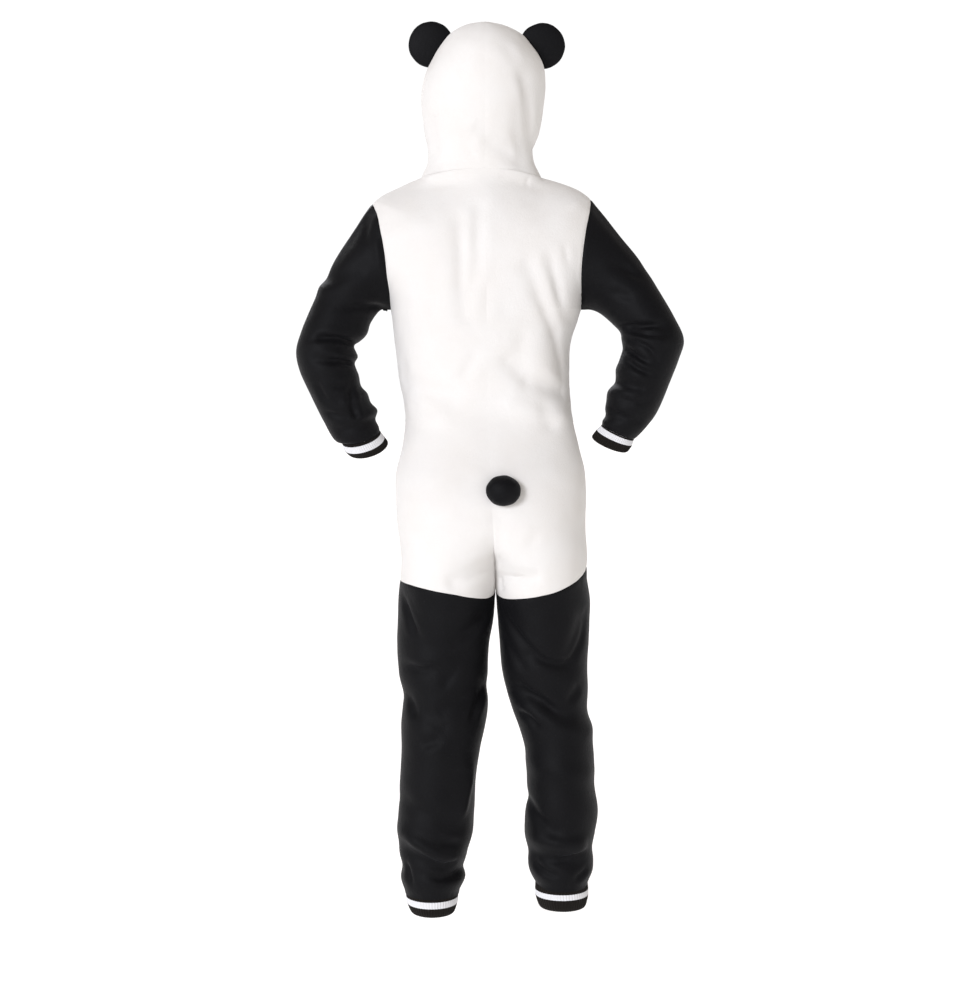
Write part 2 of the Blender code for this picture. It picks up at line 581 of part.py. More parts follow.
def ear(side, hood):
    """The ear sits on the plane that touches the hood where its seam runs."""
    normal = np.array([SIDES[side] * EAR_SEAT[0], 0, EAR_SEAT[1]])
    normal /= np.linalg.norm(normal)
    reach = (hood.reshape(-1, 3) @ normal).max() + SEAM_GAP
    radii = (EAR_RADIUS, EAR_HALF_DEPTH, EAR_RADIUS)
    padded_ball("ear_" + side, EAR_PLACE[side], radii, normal * reach, normal, BLACK_FLEECE)


def tail(seat, normals):
    flat = seat.reshape(-1, 3)
    place = np.array([TAIL_PLACE[0], -TAIL_PLACE[1]])
    away = np.linalg.norm(flat[:, (0, 2)] - place, axis=1)
    normal = normals.reshape(-1, 3)[away.argmin()].copy()
    normal /= np.linalg.norm(normal)
    near = flat[away < 2 * TAIL_RADII[0]]
    reach = (near @ normal).max() + SEAM_GAP
    centre = np.array([place[0], 0, place[1]])
    depth = TAIL_RADII[1] * (1 - 2 * TAIL_SUNK)
    centre[1] = (reach + depth - centre @ normal) / normal[1]
    padded_ball("tail", centre, TAIL_RADII, normal * reach, normal, BLACK_FLEECE)


def block(bm, size, place):
    """A box of the given size about a place, in millimetres."""
    made = bmesh.ops.create_cube(bm, size=1)
    bmesh.ops.scale(bm, vec=Vector(size), verts=made["verts"])
    bmesh.ops.translate(bm, vec=Vector(place), verts=made["verts"])


def rod(bm, radius, length, place):
    """A round bar along X."""
    made = bmesh.ops.create_cone(bm, cap_ends=True, segments=16, radius1=radius, radius2=radius, depth=length)
    bmesh.ops.rotate(bm, cent=Vector(), matrix=Matrix.Rotation(math.pi / 2, 3, "Y"), verts=made["verts"])
    bmesh.ops.translate(bm, vec=Vector(place), verts=made["verts"])


def joined(name, shapes, cutters, frame, look):
    """The union of some shapes less some cutters, each made by its own function, put in a frame."""
    def piece(shape, called):
        make, *sizes = shape
        bm = bmesh.new()
        make(bm, *sizes)
        bm.transform(frame)
        return add_object(called, bm, look)

    whole = piece(shapes[0], name)
    helpers = [(piece(shape, "helper"), "UNION") for shape in shapes[1:]]
    helpers += [(piece(shape, "helper"), "DIFFERENCE") for shape in cutters]
    for helper, operation in helpers:
        cut = whole.modifiers.new("join", "BOOLEAN")
        cut.operation = operation
        cut.object = helper
        helper.hide_render = True
        helper.display_type = "WIRE"


def slider_frame(tape, normals):
    """Where the slider lies on the tape: X across, -Y away from the cloth, +Z up along the zip."""
    seat = tape[SLIDER_ROW, 1]
    out = normals[SLIDER_ROW, 1] * (0, 1, 1)
    out /= np.linalg.norm(out)
    up = np.cross(out, (1, 0, 0))
    lift = 0
    for near in (tape[SLIDER_ROW - 1, 1], tape[SLIDER_ROW + 1, 1]):
        step = near - seat
        lift = max(lift, SLIDER_SIZE[2] / 2 / np.linalg.norm(step) * (step @ out))
    axes = Matrix((Vector((1, 0, 0)), Vector(-out), Vector(up))).transposed().to_4x4()
    return Matrix.Scale(MM, 4) @ Matrix.Translation(Vector(seat + out * (lift + SEAM_GAP))) @ axes


def zip_fittings(tape, normals):
    """The slider near the top of the zip, and the pull tab that hangs from its pin."""
    frame = slider_frame(tape, normals)
    thick = SLIDER_SIZE[1]
    pin = -(thick + PIN_CLEARANCE + EYE_RADIUS)
    lug_x = EYE_WIDTH / 2 + EYE_SIDE_GAP + LUG_SIZE[0] / 2
    lug_y = LUG_SUNK - thick - LUG_SIZE[1] / 2
    neck_z = -EYE_HOLE - EYE_SIDE_GAP - NECK_SIZE[2] / 2
    tab_z = neck_z - (NECK_SIZE[2] + TAB_SIZE[2]) / 2 + EYE_SIDE_GAP
    slider = [(block, SLIDER_SIZE, (0, -thick / 2, 0)),
              (block, LUG_SIZE, (lug_x, lug_y, 0)),
              (block, LUG_SIZE, (-lug_x, lug_y, 0)),
              (rod, PIN_RADIUS, 2 * lug_x + LUG_SIZE[0] / 2, (0, pin, 0))]
    joined("zip_slider", slider, [], frame, ZIP_METAL)
    pull = [(rod, EYE_RADIUS, EYE_WIDTH, (0, pin, 0)),
            (block, NECK_SIZE, (0, pin, neck_z)),
            (block, TAB_SIZE, (0, pin, tab_z))]
    joined("zip_pull", pull, [(rod, EYE_HOLE, 3 * EYE_WIDTH, (0, pin, 0))], frame, ZIP_METAL)


def main():
    for old in list(bpy.data.objects):
        bpy.data.objects.remove(old)
    bpy.context.scene.collection.children.link(bpy.data.collections.new("onesie"))
    grids = garment_grids()
    joint_normals(grids)
    for grid in grids.values():
        add_folds(grid)
    joint_normals(grids)
    for name, grid in grids.items():
        outer = trimmed(grid)
        look = WHITE_FLEECE
        if name.startswith(("sleeve", "leg")):
            look = BLACK_FLEECE
        if name == "zip_tape":
            look = ZIP_TAPE
        wall(name, outer, outer - CLOTH * grid["normals"], grid["closed"], look)
    turn = 2 * np.pi * np.arange(2 * RIB_COUNT) / (2 * RIB_COUNT)
    for side in SIDES:
        rings = [ring_points(side, SLEEVE_CUFF[side], at, turn) for at in range(3)]
        ribbed_cuff("sleeve_cuff_" + side, rings, BLACK_RIB)
        rings = [leg_ring(side, ANKLE_CUFF[side], drop, turn) for drop in ANKLE_CUFF[side]["drop"]]
        rings[0][:, 2] -= SEAM_GAP
        ribbed_cuff("ankle_cuff_" + side, rings, BLACK_RIB)
        ear(side, np.concatenate([grids["hood_left"]["points"], grids["hood_right"]["points"]]))
    tail(np.concatenate([grids["back_left"]["points"], grids["back_right"]["points"]]),
         np.concatenate([grids["back_left"]["normals"], grids["back_right"]["normals"]]))
    zip_fittings(grids["zip_tape"]["points"], grids["zip_tape"]["normals"])


main()
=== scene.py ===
import math

import bmesh
import bpy
import numpy as np
from mathutils import Matrix, Vector, noise
from mathutils.bvhtree import BVHTree


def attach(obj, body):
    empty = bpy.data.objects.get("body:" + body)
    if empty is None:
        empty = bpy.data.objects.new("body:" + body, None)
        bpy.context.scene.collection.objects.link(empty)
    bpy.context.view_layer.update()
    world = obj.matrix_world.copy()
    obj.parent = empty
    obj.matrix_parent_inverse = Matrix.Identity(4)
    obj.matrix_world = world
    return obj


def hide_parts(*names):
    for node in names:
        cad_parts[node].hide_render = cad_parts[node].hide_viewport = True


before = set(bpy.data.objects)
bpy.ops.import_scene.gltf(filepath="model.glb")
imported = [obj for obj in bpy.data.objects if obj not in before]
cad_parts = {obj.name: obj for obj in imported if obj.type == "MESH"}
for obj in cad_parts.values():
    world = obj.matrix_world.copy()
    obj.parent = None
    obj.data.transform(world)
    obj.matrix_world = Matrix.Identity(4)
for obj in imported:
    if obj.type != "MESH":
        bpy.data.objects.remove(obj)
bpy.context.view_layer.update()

# A hooded fleece onesie in its worn form. Tables are in millimetres, and a drop is measured down from the
# origin between the shoulders. The front faces -Y and the wearer's left is +X.
mm = 0.001
sides = {"left": 1, "right": -1}
faces = {"back": 1, "front": -1}


# Turns an sRGB hex colour to linear.
def fromHex(code, strength=1.0):
    channels = [int(code[i:i + 2], 16) / 255 for i in (0, 2, 4)]
    return (*[strength * (c / 12.92 if c <= 0.04045 else ((c + 0.055) / 1.055) ** 2.4) for c in channels], 1)


# Adds a node: settings are its sockets' values or its properties, and links feed its inputs.
def addNode(tree, kind, settings=None, links=None):
    node = tree.nodes.new("ShaderNode" + kind)
    for name, value in (settings or {}).items():
        if isinstance(name, int) or name in node.inputs:
            node.inputs[name].default_value = value
        else:
            setattr(node, name, value)
    for name, source in (links or {}).items():
        tree.links.new(source, node.inputs[name])
    return node


def startMaterial(name, colour, settings):
    made = bpy.data.materials.new(name)
    made.use_nodes = True
    tree = made.node_tree
    tree.nodes.clear()
    shader = addNode(tree, "BsdfPrincipled", {"Base Color": fromHex(colour), **settings})
    addNode(tree, "OutputMaterial", links={"Surface": shader.outputs[0]})
    return made, tree, shader


# Brushed polyester fleece: a short matted nap, which gives no gloss, soft light edges, faint clumps and a
# slightly cloudy colour. The nap and its clumps are drawn at their real size. White scatters nearly all the
# light, and the black keeps a dull sheen along its creases. The nap's raised tips are painted a little
# lighter: a painted highlight that follows the nap's bump.
fleeceLooks = {
    "brushedWhiteFleece": dict(
        colour="d7d5d3", cloudColour="d5d2cf", napTipHighlightColour="dcdad9", roughness=0.95, specular=0.2, sheen=0.08,
        sheenRoughness=0.5, sheenColour="ffffff", cloudMm=60, clumpStrength=0.25, napStrength=0.45),
    "brushedBlackFleece": dict(
        colour="0e0e10", cloudColour="0b0b0d", napTipHighlightColour="19191c", roughness=0.54, specular=0.075, sheen=0.05,
        sheenRoughness=0.4, sheenColour="c9cbd2", cloudMm=50, clumpStrength=0.3, napStrength=0.5)}
napLook = dict(clumpMm=4.5, clumpHeight=0.3, napMm=1.1, napHeight=0.5, cloudRange=(0.3, 0.7),
               napTipHighlightRange=(0.45, 0.75), napTipHighlight=0.35)


def fleeceMaterial(name):
    look = {**napLook, **fleeceLooks[name]}
    made, tree, shader = startMaterial(name, look["colour"], {
        "Roughness": look["roughness"], "Specular IOR Level": look["specular"], "Sheen Weight": look["sheen"],
        "Sheen Roughness": look["sheenRoughness"], "Sheen Tint": fromHex(look["sheenColour"])})
    place = addNode(tree, "TexCoord").outputs["Object"]
    clumps, nap, cloud = [
        addNode(tree, "TexNoise", {"Scale": 1 / mm / look[size], "Detail": detail, "Roughness": rough},
                {"Vector": place}).outputs["Fac"]
        for size, detail, rough in (("clumpMm", 3.0, 0.6), ("napMm", 2.0, 0.7), ("cloudMm", 2.0, 0.5))]
    shade = addNode(tree, "MapRange", {"From Min": look["cloudRange"][0], "From Max": look["cloudRange"][1]},
                    {"Value": cloud})
    clouded = addNode(tree, "Mix", {"data_type": "RGBA", 6: fromHex(look["colour"]),
                                    7: fromHex(look["cloudColour"])}, {0: shade.outputs[0]})
    # Where the nap's bump stands higher its colour turns lighter: a painted highlight on the nap tips.
    napTipHighlight = addNode(tree, "MapRange", {"From Min": look["napTipHighlightRange"][0], "From Max": look["napTipHighlightRange"][1],
                                       "To Max": look["napTipHighlight"]}, {"Value": nap})
    napTipHighlighted = addNode(tree, "Mix", {"data_type": "RGBA", 7: fromHex(look["napTipHighlightColour"])},
                     {0: napTipHighlight.outputs[0], 6: clouded.outputs[2]})
    soft = addNode(tree, "Bump", {"Strength": look["clumpStrength"],
                                  "Distance": look["clumpMm"] * mm * look["clumpHeight"]},
                   {"Height": clumps})
    fine = addNode(tree, "Bump", {"Strength": look["napStrength"],
                                  "Distance": look["napMm"] * mm * look["napHeight"]},
                   {"Height": nap, "Normal": soft.outputs[0]})
    tree.links.new(napTipHighlighted.outputs[2], shader.inputs["Base Color"])
    tree.links.new(fine.outputs[0], shader.inputs["Normal"])
    return made


# Knitted cotton rib with a knitted-in stripe: rows of small loops, matt and a little browner than the fleece.
# The loops are drawn coarser than real ones, so that they show. Their tops are painted lighter than the
# hollows between them: a painted highlight over the loops' bump, which leaves painted shade in the hollows.
ribLook = dict(colour="110e0c", loopTopHighlightColour="191613", stripeColour="d0d0d3", stripeLoopTopHighlightColour="dcdcde",
               roughness=0.9, specular=0.12, sheen=0.04, sheenRoughness=0.5, loopsPerRib=2, loopRows=11,
               loopStrength=0.5, loopMm=0.4)


def ribMaterial(name, ribs, stripe):
    look = ribLook
    made, tree, shader = startMaterial(name, look["colour"], {
        "Roughness": look["roughness"], "Specular IOR Level": look["specular"], "Sheen Weight": look["sheen"],
        "Sheen Roughness": look["sheenRoughness"]})
    uv = addNode(tree, "UVMap", {"uv_map": "knit"}).outputs[0]
    across, down = addNode(tree, "SeparateXYZ", links={0: uv}).outputs[:2]
    low = addNode(tree, "Math", {"operation": "GREATER_THAN", 1: stripe[0]}, {0: down})
    high = addNode(tree, "Math", {"operation": "LESS_THAN", 1: stripe[1]}, {0: down})
    inStripe = addNode(tree, "Math", {"operation": "MULTIPLY"}, {0: low.outputs[0], 1: high.outputs[0]})
    waves = []
    for source, count in ((across, ribs * look["loopsPerRib"]), (down, look["loopRows"])):
        turn = addNode(tree, "Math", {"operation": "MULTIPLY", 1: 2 * math.pi * count}, {0: source})
        waves.append(addNode(tree, "Math", {"operation": "SINE"}, {0: turn.outputs[0]}).outputs[0])
    loops = addNode(tree, "Math", {"operation": "MULTIPLY"}, {0: waves[0], 1: waves[1]})
    shade = addNode(tree, "MapRange", {"From Min": -1.0, "From Max": 1.0}, {"Value": loops.outputs[0]})
    # Each yarn turns to a lighter colour on the loop tops and stays darker between them: painted highlight and
    # painted shade.
    yarnsWithLoopHighlight = [addNode(tree, "Mix", {"data_type": "RGBA", 6: fromHex(look[yarn]), 7: fromHex(look[loop])},
                     {0: shade.outputs[0]})
             for yarn, loop in (("colour", "loopTopHighlightColour"), ("stripeColour", "stripeLoopTopHighlightColour"))]
    striped = addNode(tree, "Mix", {"data_type": "RGBA"},
                      {0: inStripe.outputs[0], 6: yarnsWithLoopHighlight[0].outputs[2], 7: yarnsWithLoopHighlight[1].outputs[2]})
    bump = addNode(tree, "Bump", {"Strength": look["loopStrength"], "Distance": look["loopMm"] * mm},
                   {"Height": loops.outputs[0]})
    tree.links.new(striped.outputs[2], shader.inputs["Base Color"])
    tree.links.new(bump.outputs[0], shader.inputs["Normal"])
    return made


grainLook = dict(detail=3.0, height=0.3, roughnessSpread=0.15)


def plainMaterial(name, colour, roughness, grainMm, strength, settings=None):
    made, tree, shader = startMaterial(name, colour, {"Roughness": roughness, **(settings or {})})
    place = addNode(tree, "TexCoord").outputs["Object"]
    grain = addNode(tree, "TexNoise", {"Scale": 1 / mm / grainMm, "Detail": grainLook["detail"]},
                    {"Vector": place}).outputs["Fac"]
    spread = grainLook["roughnessSpread"]
    rough = addNode(tree, "MapRange", {"To Min": roughness * (1 - spread),
                                       "To Max": min(roughness * (1 + spread), 1)}, {"Value": grain})
    bump = addNode(tree, "Bump", {"Strength": strength, "Distance": grainMm * mm * grainLook["height"]},
                   {"Height": grain})
    tree.links.new(rough.outputs[0], shader.inputs["Roughness"])
    tree.links.new(bump.outputs[0], shader.inputs["Normal"])
    return made


whiteFleece = fleeceMaterial("brushedWhiteFleece")
blackFleece = fleeceMaterial("brushedBlackFleece")
# Woven polyester tape: matt, with a fine weave that breaks the light. Its threads are 0.3 mm apart and are
# drawn three times as coarse, so that they show.
zipTapeWeave = plainMaterial("wovenPolyesterTape", "eceae6", 0.85, 0.9, 0.5)
# Moulded acetal teeth: smooth and slightly waxy, so each has a small soft highlight.
zipTeethResin = plainMaterial("mouldedAcetalTeeth", "f4f3f0", 0.38, 2.0, 0.1)
# Die-cast zinc alloy under white lacquer: an even coat with clear rounded highlights and no metal showing.
lacqueredZinc = plainMaterial("lacqueredZincAlloy", "f0efec", 0.35, 3.0, 0.15, {"Metallic": 0.0, "Coat Weight": 0.4})
print("materials made")


def addObject(name, data):
    made = bpy.data.objects.new(name, data)
    bpy.context.scene.collection.objects.link(made)
    return made


def aim(thing, place, target):
    thing.location = place
    thing.rotation_euler = (Vector(target) - Vector(place)).to_track_quat("-Z", "Y").to_euler()


viewpoint = dict(place=(-0.01233, 3.150, -0.270), target=(-0.01233, 0.0, -0.465), lens=75, sensor=36)
cameraData = bpy.data.cameras.new("mainCamera")
cameraData.lens = viewpoint["lens"]
cameraData.sensor_width = viewpoint["sensor"]
camera = addObject("mainCamera", cameraData)
aim(camera, viewpoint["place"], viewpoint["target"])
bpy.context.scene.camera = camera
bpy.context.scene.view_settings.view_transform = "Standard"

# The key light comes from the back left and above, and a softer one lifts the front.
lights = dict(
    key=dict(comesFrom=(0.52, 0.84, 0.29), strength=2.22, softness=20, colour="f4f7ff"),
    front=dict(comesFrom=(0.30, -0.75, 0.50), strength=1.15, softness=30, colour="f6f8ff"))
for name, light in lights.items():
    lamp = bpy.data.lights.new(name, "SUN")
    lamp.energy = light["strength"]
    lamp.angle = math.radians(light["softness"])
    lamp.color = fromHex(light["colour"])[:3]
    aim(addObject(name, lamp), light["comesFrom"], (0, 0, 0))

# The room is softly lit all round, and a white band at the horizon carries the floor on behind the garment.
room = dict(colour="fff4e8", strength=0.42, horizonColour="ffffff", horizonStrength=1.05,
            horizonEdge=(0.30, 0.20))
world = bpy.data.worlds.new("softStudio")
bpy.context.scene.world = world
world.use_nodes = True
sky = world.node_tree
height = addNode(sky, "SeparateXYZ", links={0: addNode(sky, "TexCoord").outputs["Generated"]})
low = addNode(sky, "MapRange", {"interpolation_type": "SMOOTHSTEP",
                                "From Min": room["horizonEdge"][0],
                                "From Max": room["horizonEdge"][1]}, {"Value": height.outputs[2]})
glow = addNode(sky, "Mix", {"data_type": "RGBA",
                            6: fromHex(room["colour"], room["strength"]),
                            7: fromHex(room["horizonColour"], room["horizonStrength"])},
               {0: low.outputs[0]})
sky.links.new(glow.outputs[2], sky.nodes["Background"].inputs["Color"])

# Pale matt paper: it glows a little, so the floor meets the white horizon without an edge.
floor = dict(level=-1.2, size=60.0, colour="ffffff", glow=0.42)
floorMesh = bpy.data.meshes.new("floor")
floorShape = bmesh.new()
bmesh.ops.create_grid(floorShape, x_segments=2, y_segments=2, size=floor["size"] / 2)
bmesh.ops.translate(floorShape, vec=(0, 0, floor["level"]), verts=floorShape.verts)
floorShape.to_mesh(floorMesh)
floorShape.free()
floorMesh.materials.append(startMaterial("palePaper", floor["colour"], {
    "Roughness": 1.0, "Specular IOR Level": 0.0, "Emission Color": fromHex(floor["colour"]),
    "Emission Strength": floor["glow"]})[0])
addObject("floor", floorMesh)
print("stage, camera and lights ready")


def table(names, *rows):
    return {name: np.array(column, float) for name, column in zip(names.split(), zip(*rows))}


# The body's widths and depths, from the underarm to below the crotch. Split says how far it has parted into
# two legs, and square how boxy the cross-section is.
body = table(
    "drop middle left right back front split square",
    (187, -7, 147, 145, 92, 97, 0.00, 2.60), (240, -8, 141, 128, 93, 98, 0.00, 2.50),
    (290, -8, 137, 126, 87, 98, 0.00, 2.42), (345, -9, 127, 129, 80, 98, 0.00, 2.40),
    (395, -11, 134, 138, 92, 100, 0.00, 2.40), (440, -14, 147, 145, 107, 101, 0.03, 2.42),
    (480, -15, 148, 145, 114, 98, 0.12, 2.42), (520, -17, 147, 142, 112, 92, 0.35, 2.36),
    (550, -18, 144, 143, 106, 87, 0.62, 2.24), (578, -20, 145, 142, 98, 82, 0.85, 2.08),
    (602, -21, 148, 141, 90, 78, 0.95, 2.00), (618, -21, 150, 143, 87, 77, 1.00, 2.00),
    (640, -21, 151, 147, 83, 74, 1.03, 2.00))
# The yoke runs from the shoulder seam, level 0, to the underarm, level 1.
yoke = table(
    "level middle left right back front hole_back hole_front",
    (0.00, -5, 173, 161, 58, 72, 12, 11), (0.05, -5, 169, 161, 62, 75, 22, 20),
    (0.12, -5, 164, 159, 67, 79, 38, 34), (0.25, -5, 159, 154, 76, 85, 52, 46),
    (0.47, -6, 153, 147, 87, 92, 60, 53), (0.70, -6, 149, 144, 92, 96, 52, 47),
    (0.86, -7, 147, 144, 92, 97, 33, 31), (0.95, -7, 147, 145, 92, 97, 15, 14),
    (1.00, -7, 147, 145, 92, 97, 0, 0))
shoulder = table(
    "along left right",
    (0.0, -14, -14), (0.25, -6, -9), (0.5, 3, -3), (0.8, 14, 7), (1.0, 25.5, 18))
# The hood runs from the neckline, level 0, to the seam along its ridge, level 1.
hood = table(
    "level back back_drop left right side_drop face_half face face_drop",
    (0.00, 58, -24, 98, 86, -14, 7, 72, 50), (0.08, 61, -42, 91, 77, -32, 24, 80, 26),
    (0.17, 70, -64, 90, 74, -54, 44, 87, -6), (0.30, 84, -94, 96, 85, -88, 60, 93, -48),
    (0.43, 96, -128, 98, 90, -122, 69, 98, -94), (0.57, 102, -162, 95, 92, -156, 71, 100, -138),
    (0.70, 101, -192, 83, 87, -187, 62, 100, -174), (0.81, 93, -215, 68, 71, -213, 45, 98, -200),
    (0.91, 81, -231, 47, 50, -234, 24, 94, -214), (0.96, 74, -237, 25, 27, -243, 11, 92, -219),
    (1.00, 67, -241, 0, 0, -247, 0, 90, -222))
# The white body's lower edge: the drop at each angle from the outer side, round to the crotch.
hem = table(
    "angle left right",
    (0, 602.5, 579), (50, 606, 601.5), (90, 614.5, 618.5), (120, 623, 625), (150, 627, 627), (180, 620, 620))
# Rings of the sleeves and their cuffs, each from the outer edge of the arm to the inner one.
ring = "outer outer_drop inner inner_drop middle half dip"
sleeves = {
    "left": table(
        ring,
        (168, 25.5, 140, 187, 0, 60, 0), (202.5, 76, 156, 189, 4, 53, 0), (233.5, 128, 169, 205, 10, 49, 0),
        (258, 177, 181, 227, 18, 48, 0), (275.5, 221, 191, 241, 25, 47, 0), (283, 252, 194, 258, 28, 47, 1),
        (276.5, 285, 194, 272, 29, 46, 3), (259.5, 320, 186, 303, 26, 44, 5), (244, 353, 171, 329, 22, 42, 8),
        (228, 383, 160, 359, 19, 37, 10), (216, 389, 156, 371.5, 18, 32, 10)),
    "right": table(
        ring,
        (166, 18, 151, 186, 0, 60, 0), (207, 70, 167, 187, 4, 53, 0), (241.5, 112, 182, 194, 10, 49, 0),
        (270, 157, 201, 210, 18, 48, 0), (293, 198, 216, 226, 25, 47, 0), (307, 232, 215, 243, 28, 47, 1),
        (300, 262, 209, 265, 29, 46, 2), (286, 300, 204, 290, 26, 44, 3), (268, 341, 192, 322, 22, 42, 4),
        (252, 365, 187, 346, 20, 36, 4), (234, 385, 183, 362, 18, 30, 4))}
sleeveCuffs = {
    "left": table(
        ring,
        (214, 388.7, 157.8, 372.4, 18, 30, 10), (211, 399.5, 151, 382, 17, 31, 12),
        (203, 407.5, 144, 391, 16, 29, 13)),
    "right": table(
        ring,
        (232.1, 384.5, 184.7, 363.1, 18, 28, 4), (229, 394.5, 176, 372, 17, 29, 5.5),
        (222.5, 404, 168.5, 382, 16, 28, 6.5))}
legRing = "drop outer inner back front"
legs = {
    "left": table(
        legRing,
        (600, 128, -21, 92, 79), (635, 131, -21.2, 84, 77), (665, 131, -19, 80, 75), (697, 132, -12.5, 76, 72),
        (747, 129.5, -9, 68, 68), (775, 123, -8.5, 64, 66), (800, 123.5, -8.5, 64, 61), (830, 126, -5, 66, 58),
        (865, 126, 2, 67, 53), (915, 129, 10, 66, 46), (960, 130, 12.5, 64, 43), (1005, 131, 15.5, 60, 42),
        (1030, 130, 23.5, 57, 42), (1050, 125, 28, 54, 41), (1068, 127, 26, 54, 42), (1089, 121, 35, 49, 39)),
    "right": table(
        legRing,
        (600, 161, 21, 92, 79), (635, 167, 21.4, 84, 77), (665, 167, 23.2, 80, 75), (697, 166, 26.5, 76, 72),
        (747, 164, 31.5, 68, 68), (775, 165, 38, 64, 66), (805, 164, 48.5, 63, 61), (835, 170.5, 58.5, 65, 58),
        (870, 173.5, 67, 66, 53), (920, 175, 69.5, 65, 47), (965, 181, 67, 63, 44), (1000, 176, 66.5, 59, 43),
        (1020, 172.5, 70, 56, 42), (1040, 174, 71.5, 54, 42), (1058, 173, 74.5, 53, 42),
        (1077, 165, 84, 48, 39))}
ankleCuffs = {
    "left": table(
        legRing,
        (1089, 118, 38, 46, 37), (1107, 117, 39, 46, 37), (1124, 110, 44, 41, 33)),
    "right": table(
        legRing,
        (1077, 164, 84, 45, 37), (1096, 165, 84, 45, 37), (1115, 161, 90, 40, 33))}
# Large folds, the same as the solids have: face 1 is the back, -1 the front and 0 both.
foldColumns = "face x drop to_x to_drop width rise"
folds = {
    "body": table(
        foldColumns,
        (1, 33, 60, 30, 180, 15, -4), (1, 4, 40, 26, 195, 14, -3), (1, -70, 125, -113, 225, 15, -4),
        (1, -113, 225, -128, 305, 14, -3.6), (1, -103, 115, -126, 200, 13, -3), (1, -40, 268, -70, 296, 13, -5),
        (1, -70, 296, -124, 312, 13, -6), (1, -46, 330, -118, 352, 17, 5), (1, 108, 300, 48, 318, 15, -4),
        (1, 110, 332, 60, 350, 17, 4), (1, -21, 570, 42, 600, 13, -5), (1, -28, 590, -76, 590, 12, -5),
        (1, -22, 500, -22, 560, 11, -4), (-1, 60, 110, 92, 215, 15, -4), (-1, -66, 120, -104, 230, 15, -4),
        (-1, 108, 300, 34, 330, 15, -5), (-1, -118, 296, -40, 334, 15, -5), (-1, 90, 345, 20, 372, 17, 4),
        (-1, -100, 342, -30, 376, 17, 4), (-1, 20, 560, 70, 596, 14, -5), (-1, -62, 560, -112, 596, 14, -5)),
    "hood": table(
        foldColumns,
        (0, -64, -150, -62, -40, 14, -5), (1, 4, -78, -60, -32, 13, -4), (0, 80, -96, 72, -34, 14, -4)),
    "sleeve_left": table(
        foldColumns,
        (0, 186, 128, 236, 142, 13, -3), (0, 256, 150, 240, 154, 12, 3), (0, 178, 222, 198, 221, 11, 3),
        (0, 198, 242, 240, 232, 9, -4), (0, 192, 259, 214, 258, 7, 4), (0, 204, 270, 250, 262, 8, -3),
        (0, 188, 287, 208, 296, 10, 2), (0, 178, 316, 204, 330, 9, 3), (0, 163, 341, 190, 354, 9, 6),
        (0, 166, 355, 214, 372, 7, -3)),
    "sleeve_right": table(
        foldColumns,
        (0, -202, 122, -236, 132, 13, -3), (0, -224, 212, -272, 216, 10, -4), (0, -218, 230, -268, 236, 12, 4),
        (0, -224, 251, -260, 264, 9, -3), (0, -206, 278, -236, 288, 10, 3), (0, -206, 300, -240, 306, 7, -3),
        (0, -194, 313, -230, 326, 10, 3), (0, -188, 348, -236, 356, 7, -3)),
    "leg_left": table(
        foldColumns,
        (1, 120, 632, 96, 690, 14, -4), (0, 113, 738, 56, 742, 14, -4), (1, 2, 652, 40, 692, 15, -5),
        (0, 4, 767, 60, 800, 14, -5), (0, 110, 786, 60, 822, 14, -4), (1, 22, 890, 34, 968, 15, 4),
        (0, 118, 992, 44, 1030, 14, 5), (0, 112, 1022, 40, 1052, 11, -5), (0, 116, 944, 40, 976, 14, -4),
        (1, 106, 690, 20, 712, 16, -4)),
    "leg_right": table(
        foldColumns,
        (1, -32, 640, -70, 712, 14, -5), (1, -70, 712, -132, 730, 14, -6), (1, -132, 730, -156, 660, 14, -5),
        (0, -58, 768, -122, 808, 14, -5), (0, -70, 796, -158, 836, 14, 4), (0, -72, 942, -108, 984, 14, -4),
        (0, -86, 998, -148, 1012, 14, 5), (0, -82, 1028, -150, 1036, 11, -5), (0, -80, 884, -160, 900, 15, 3))}
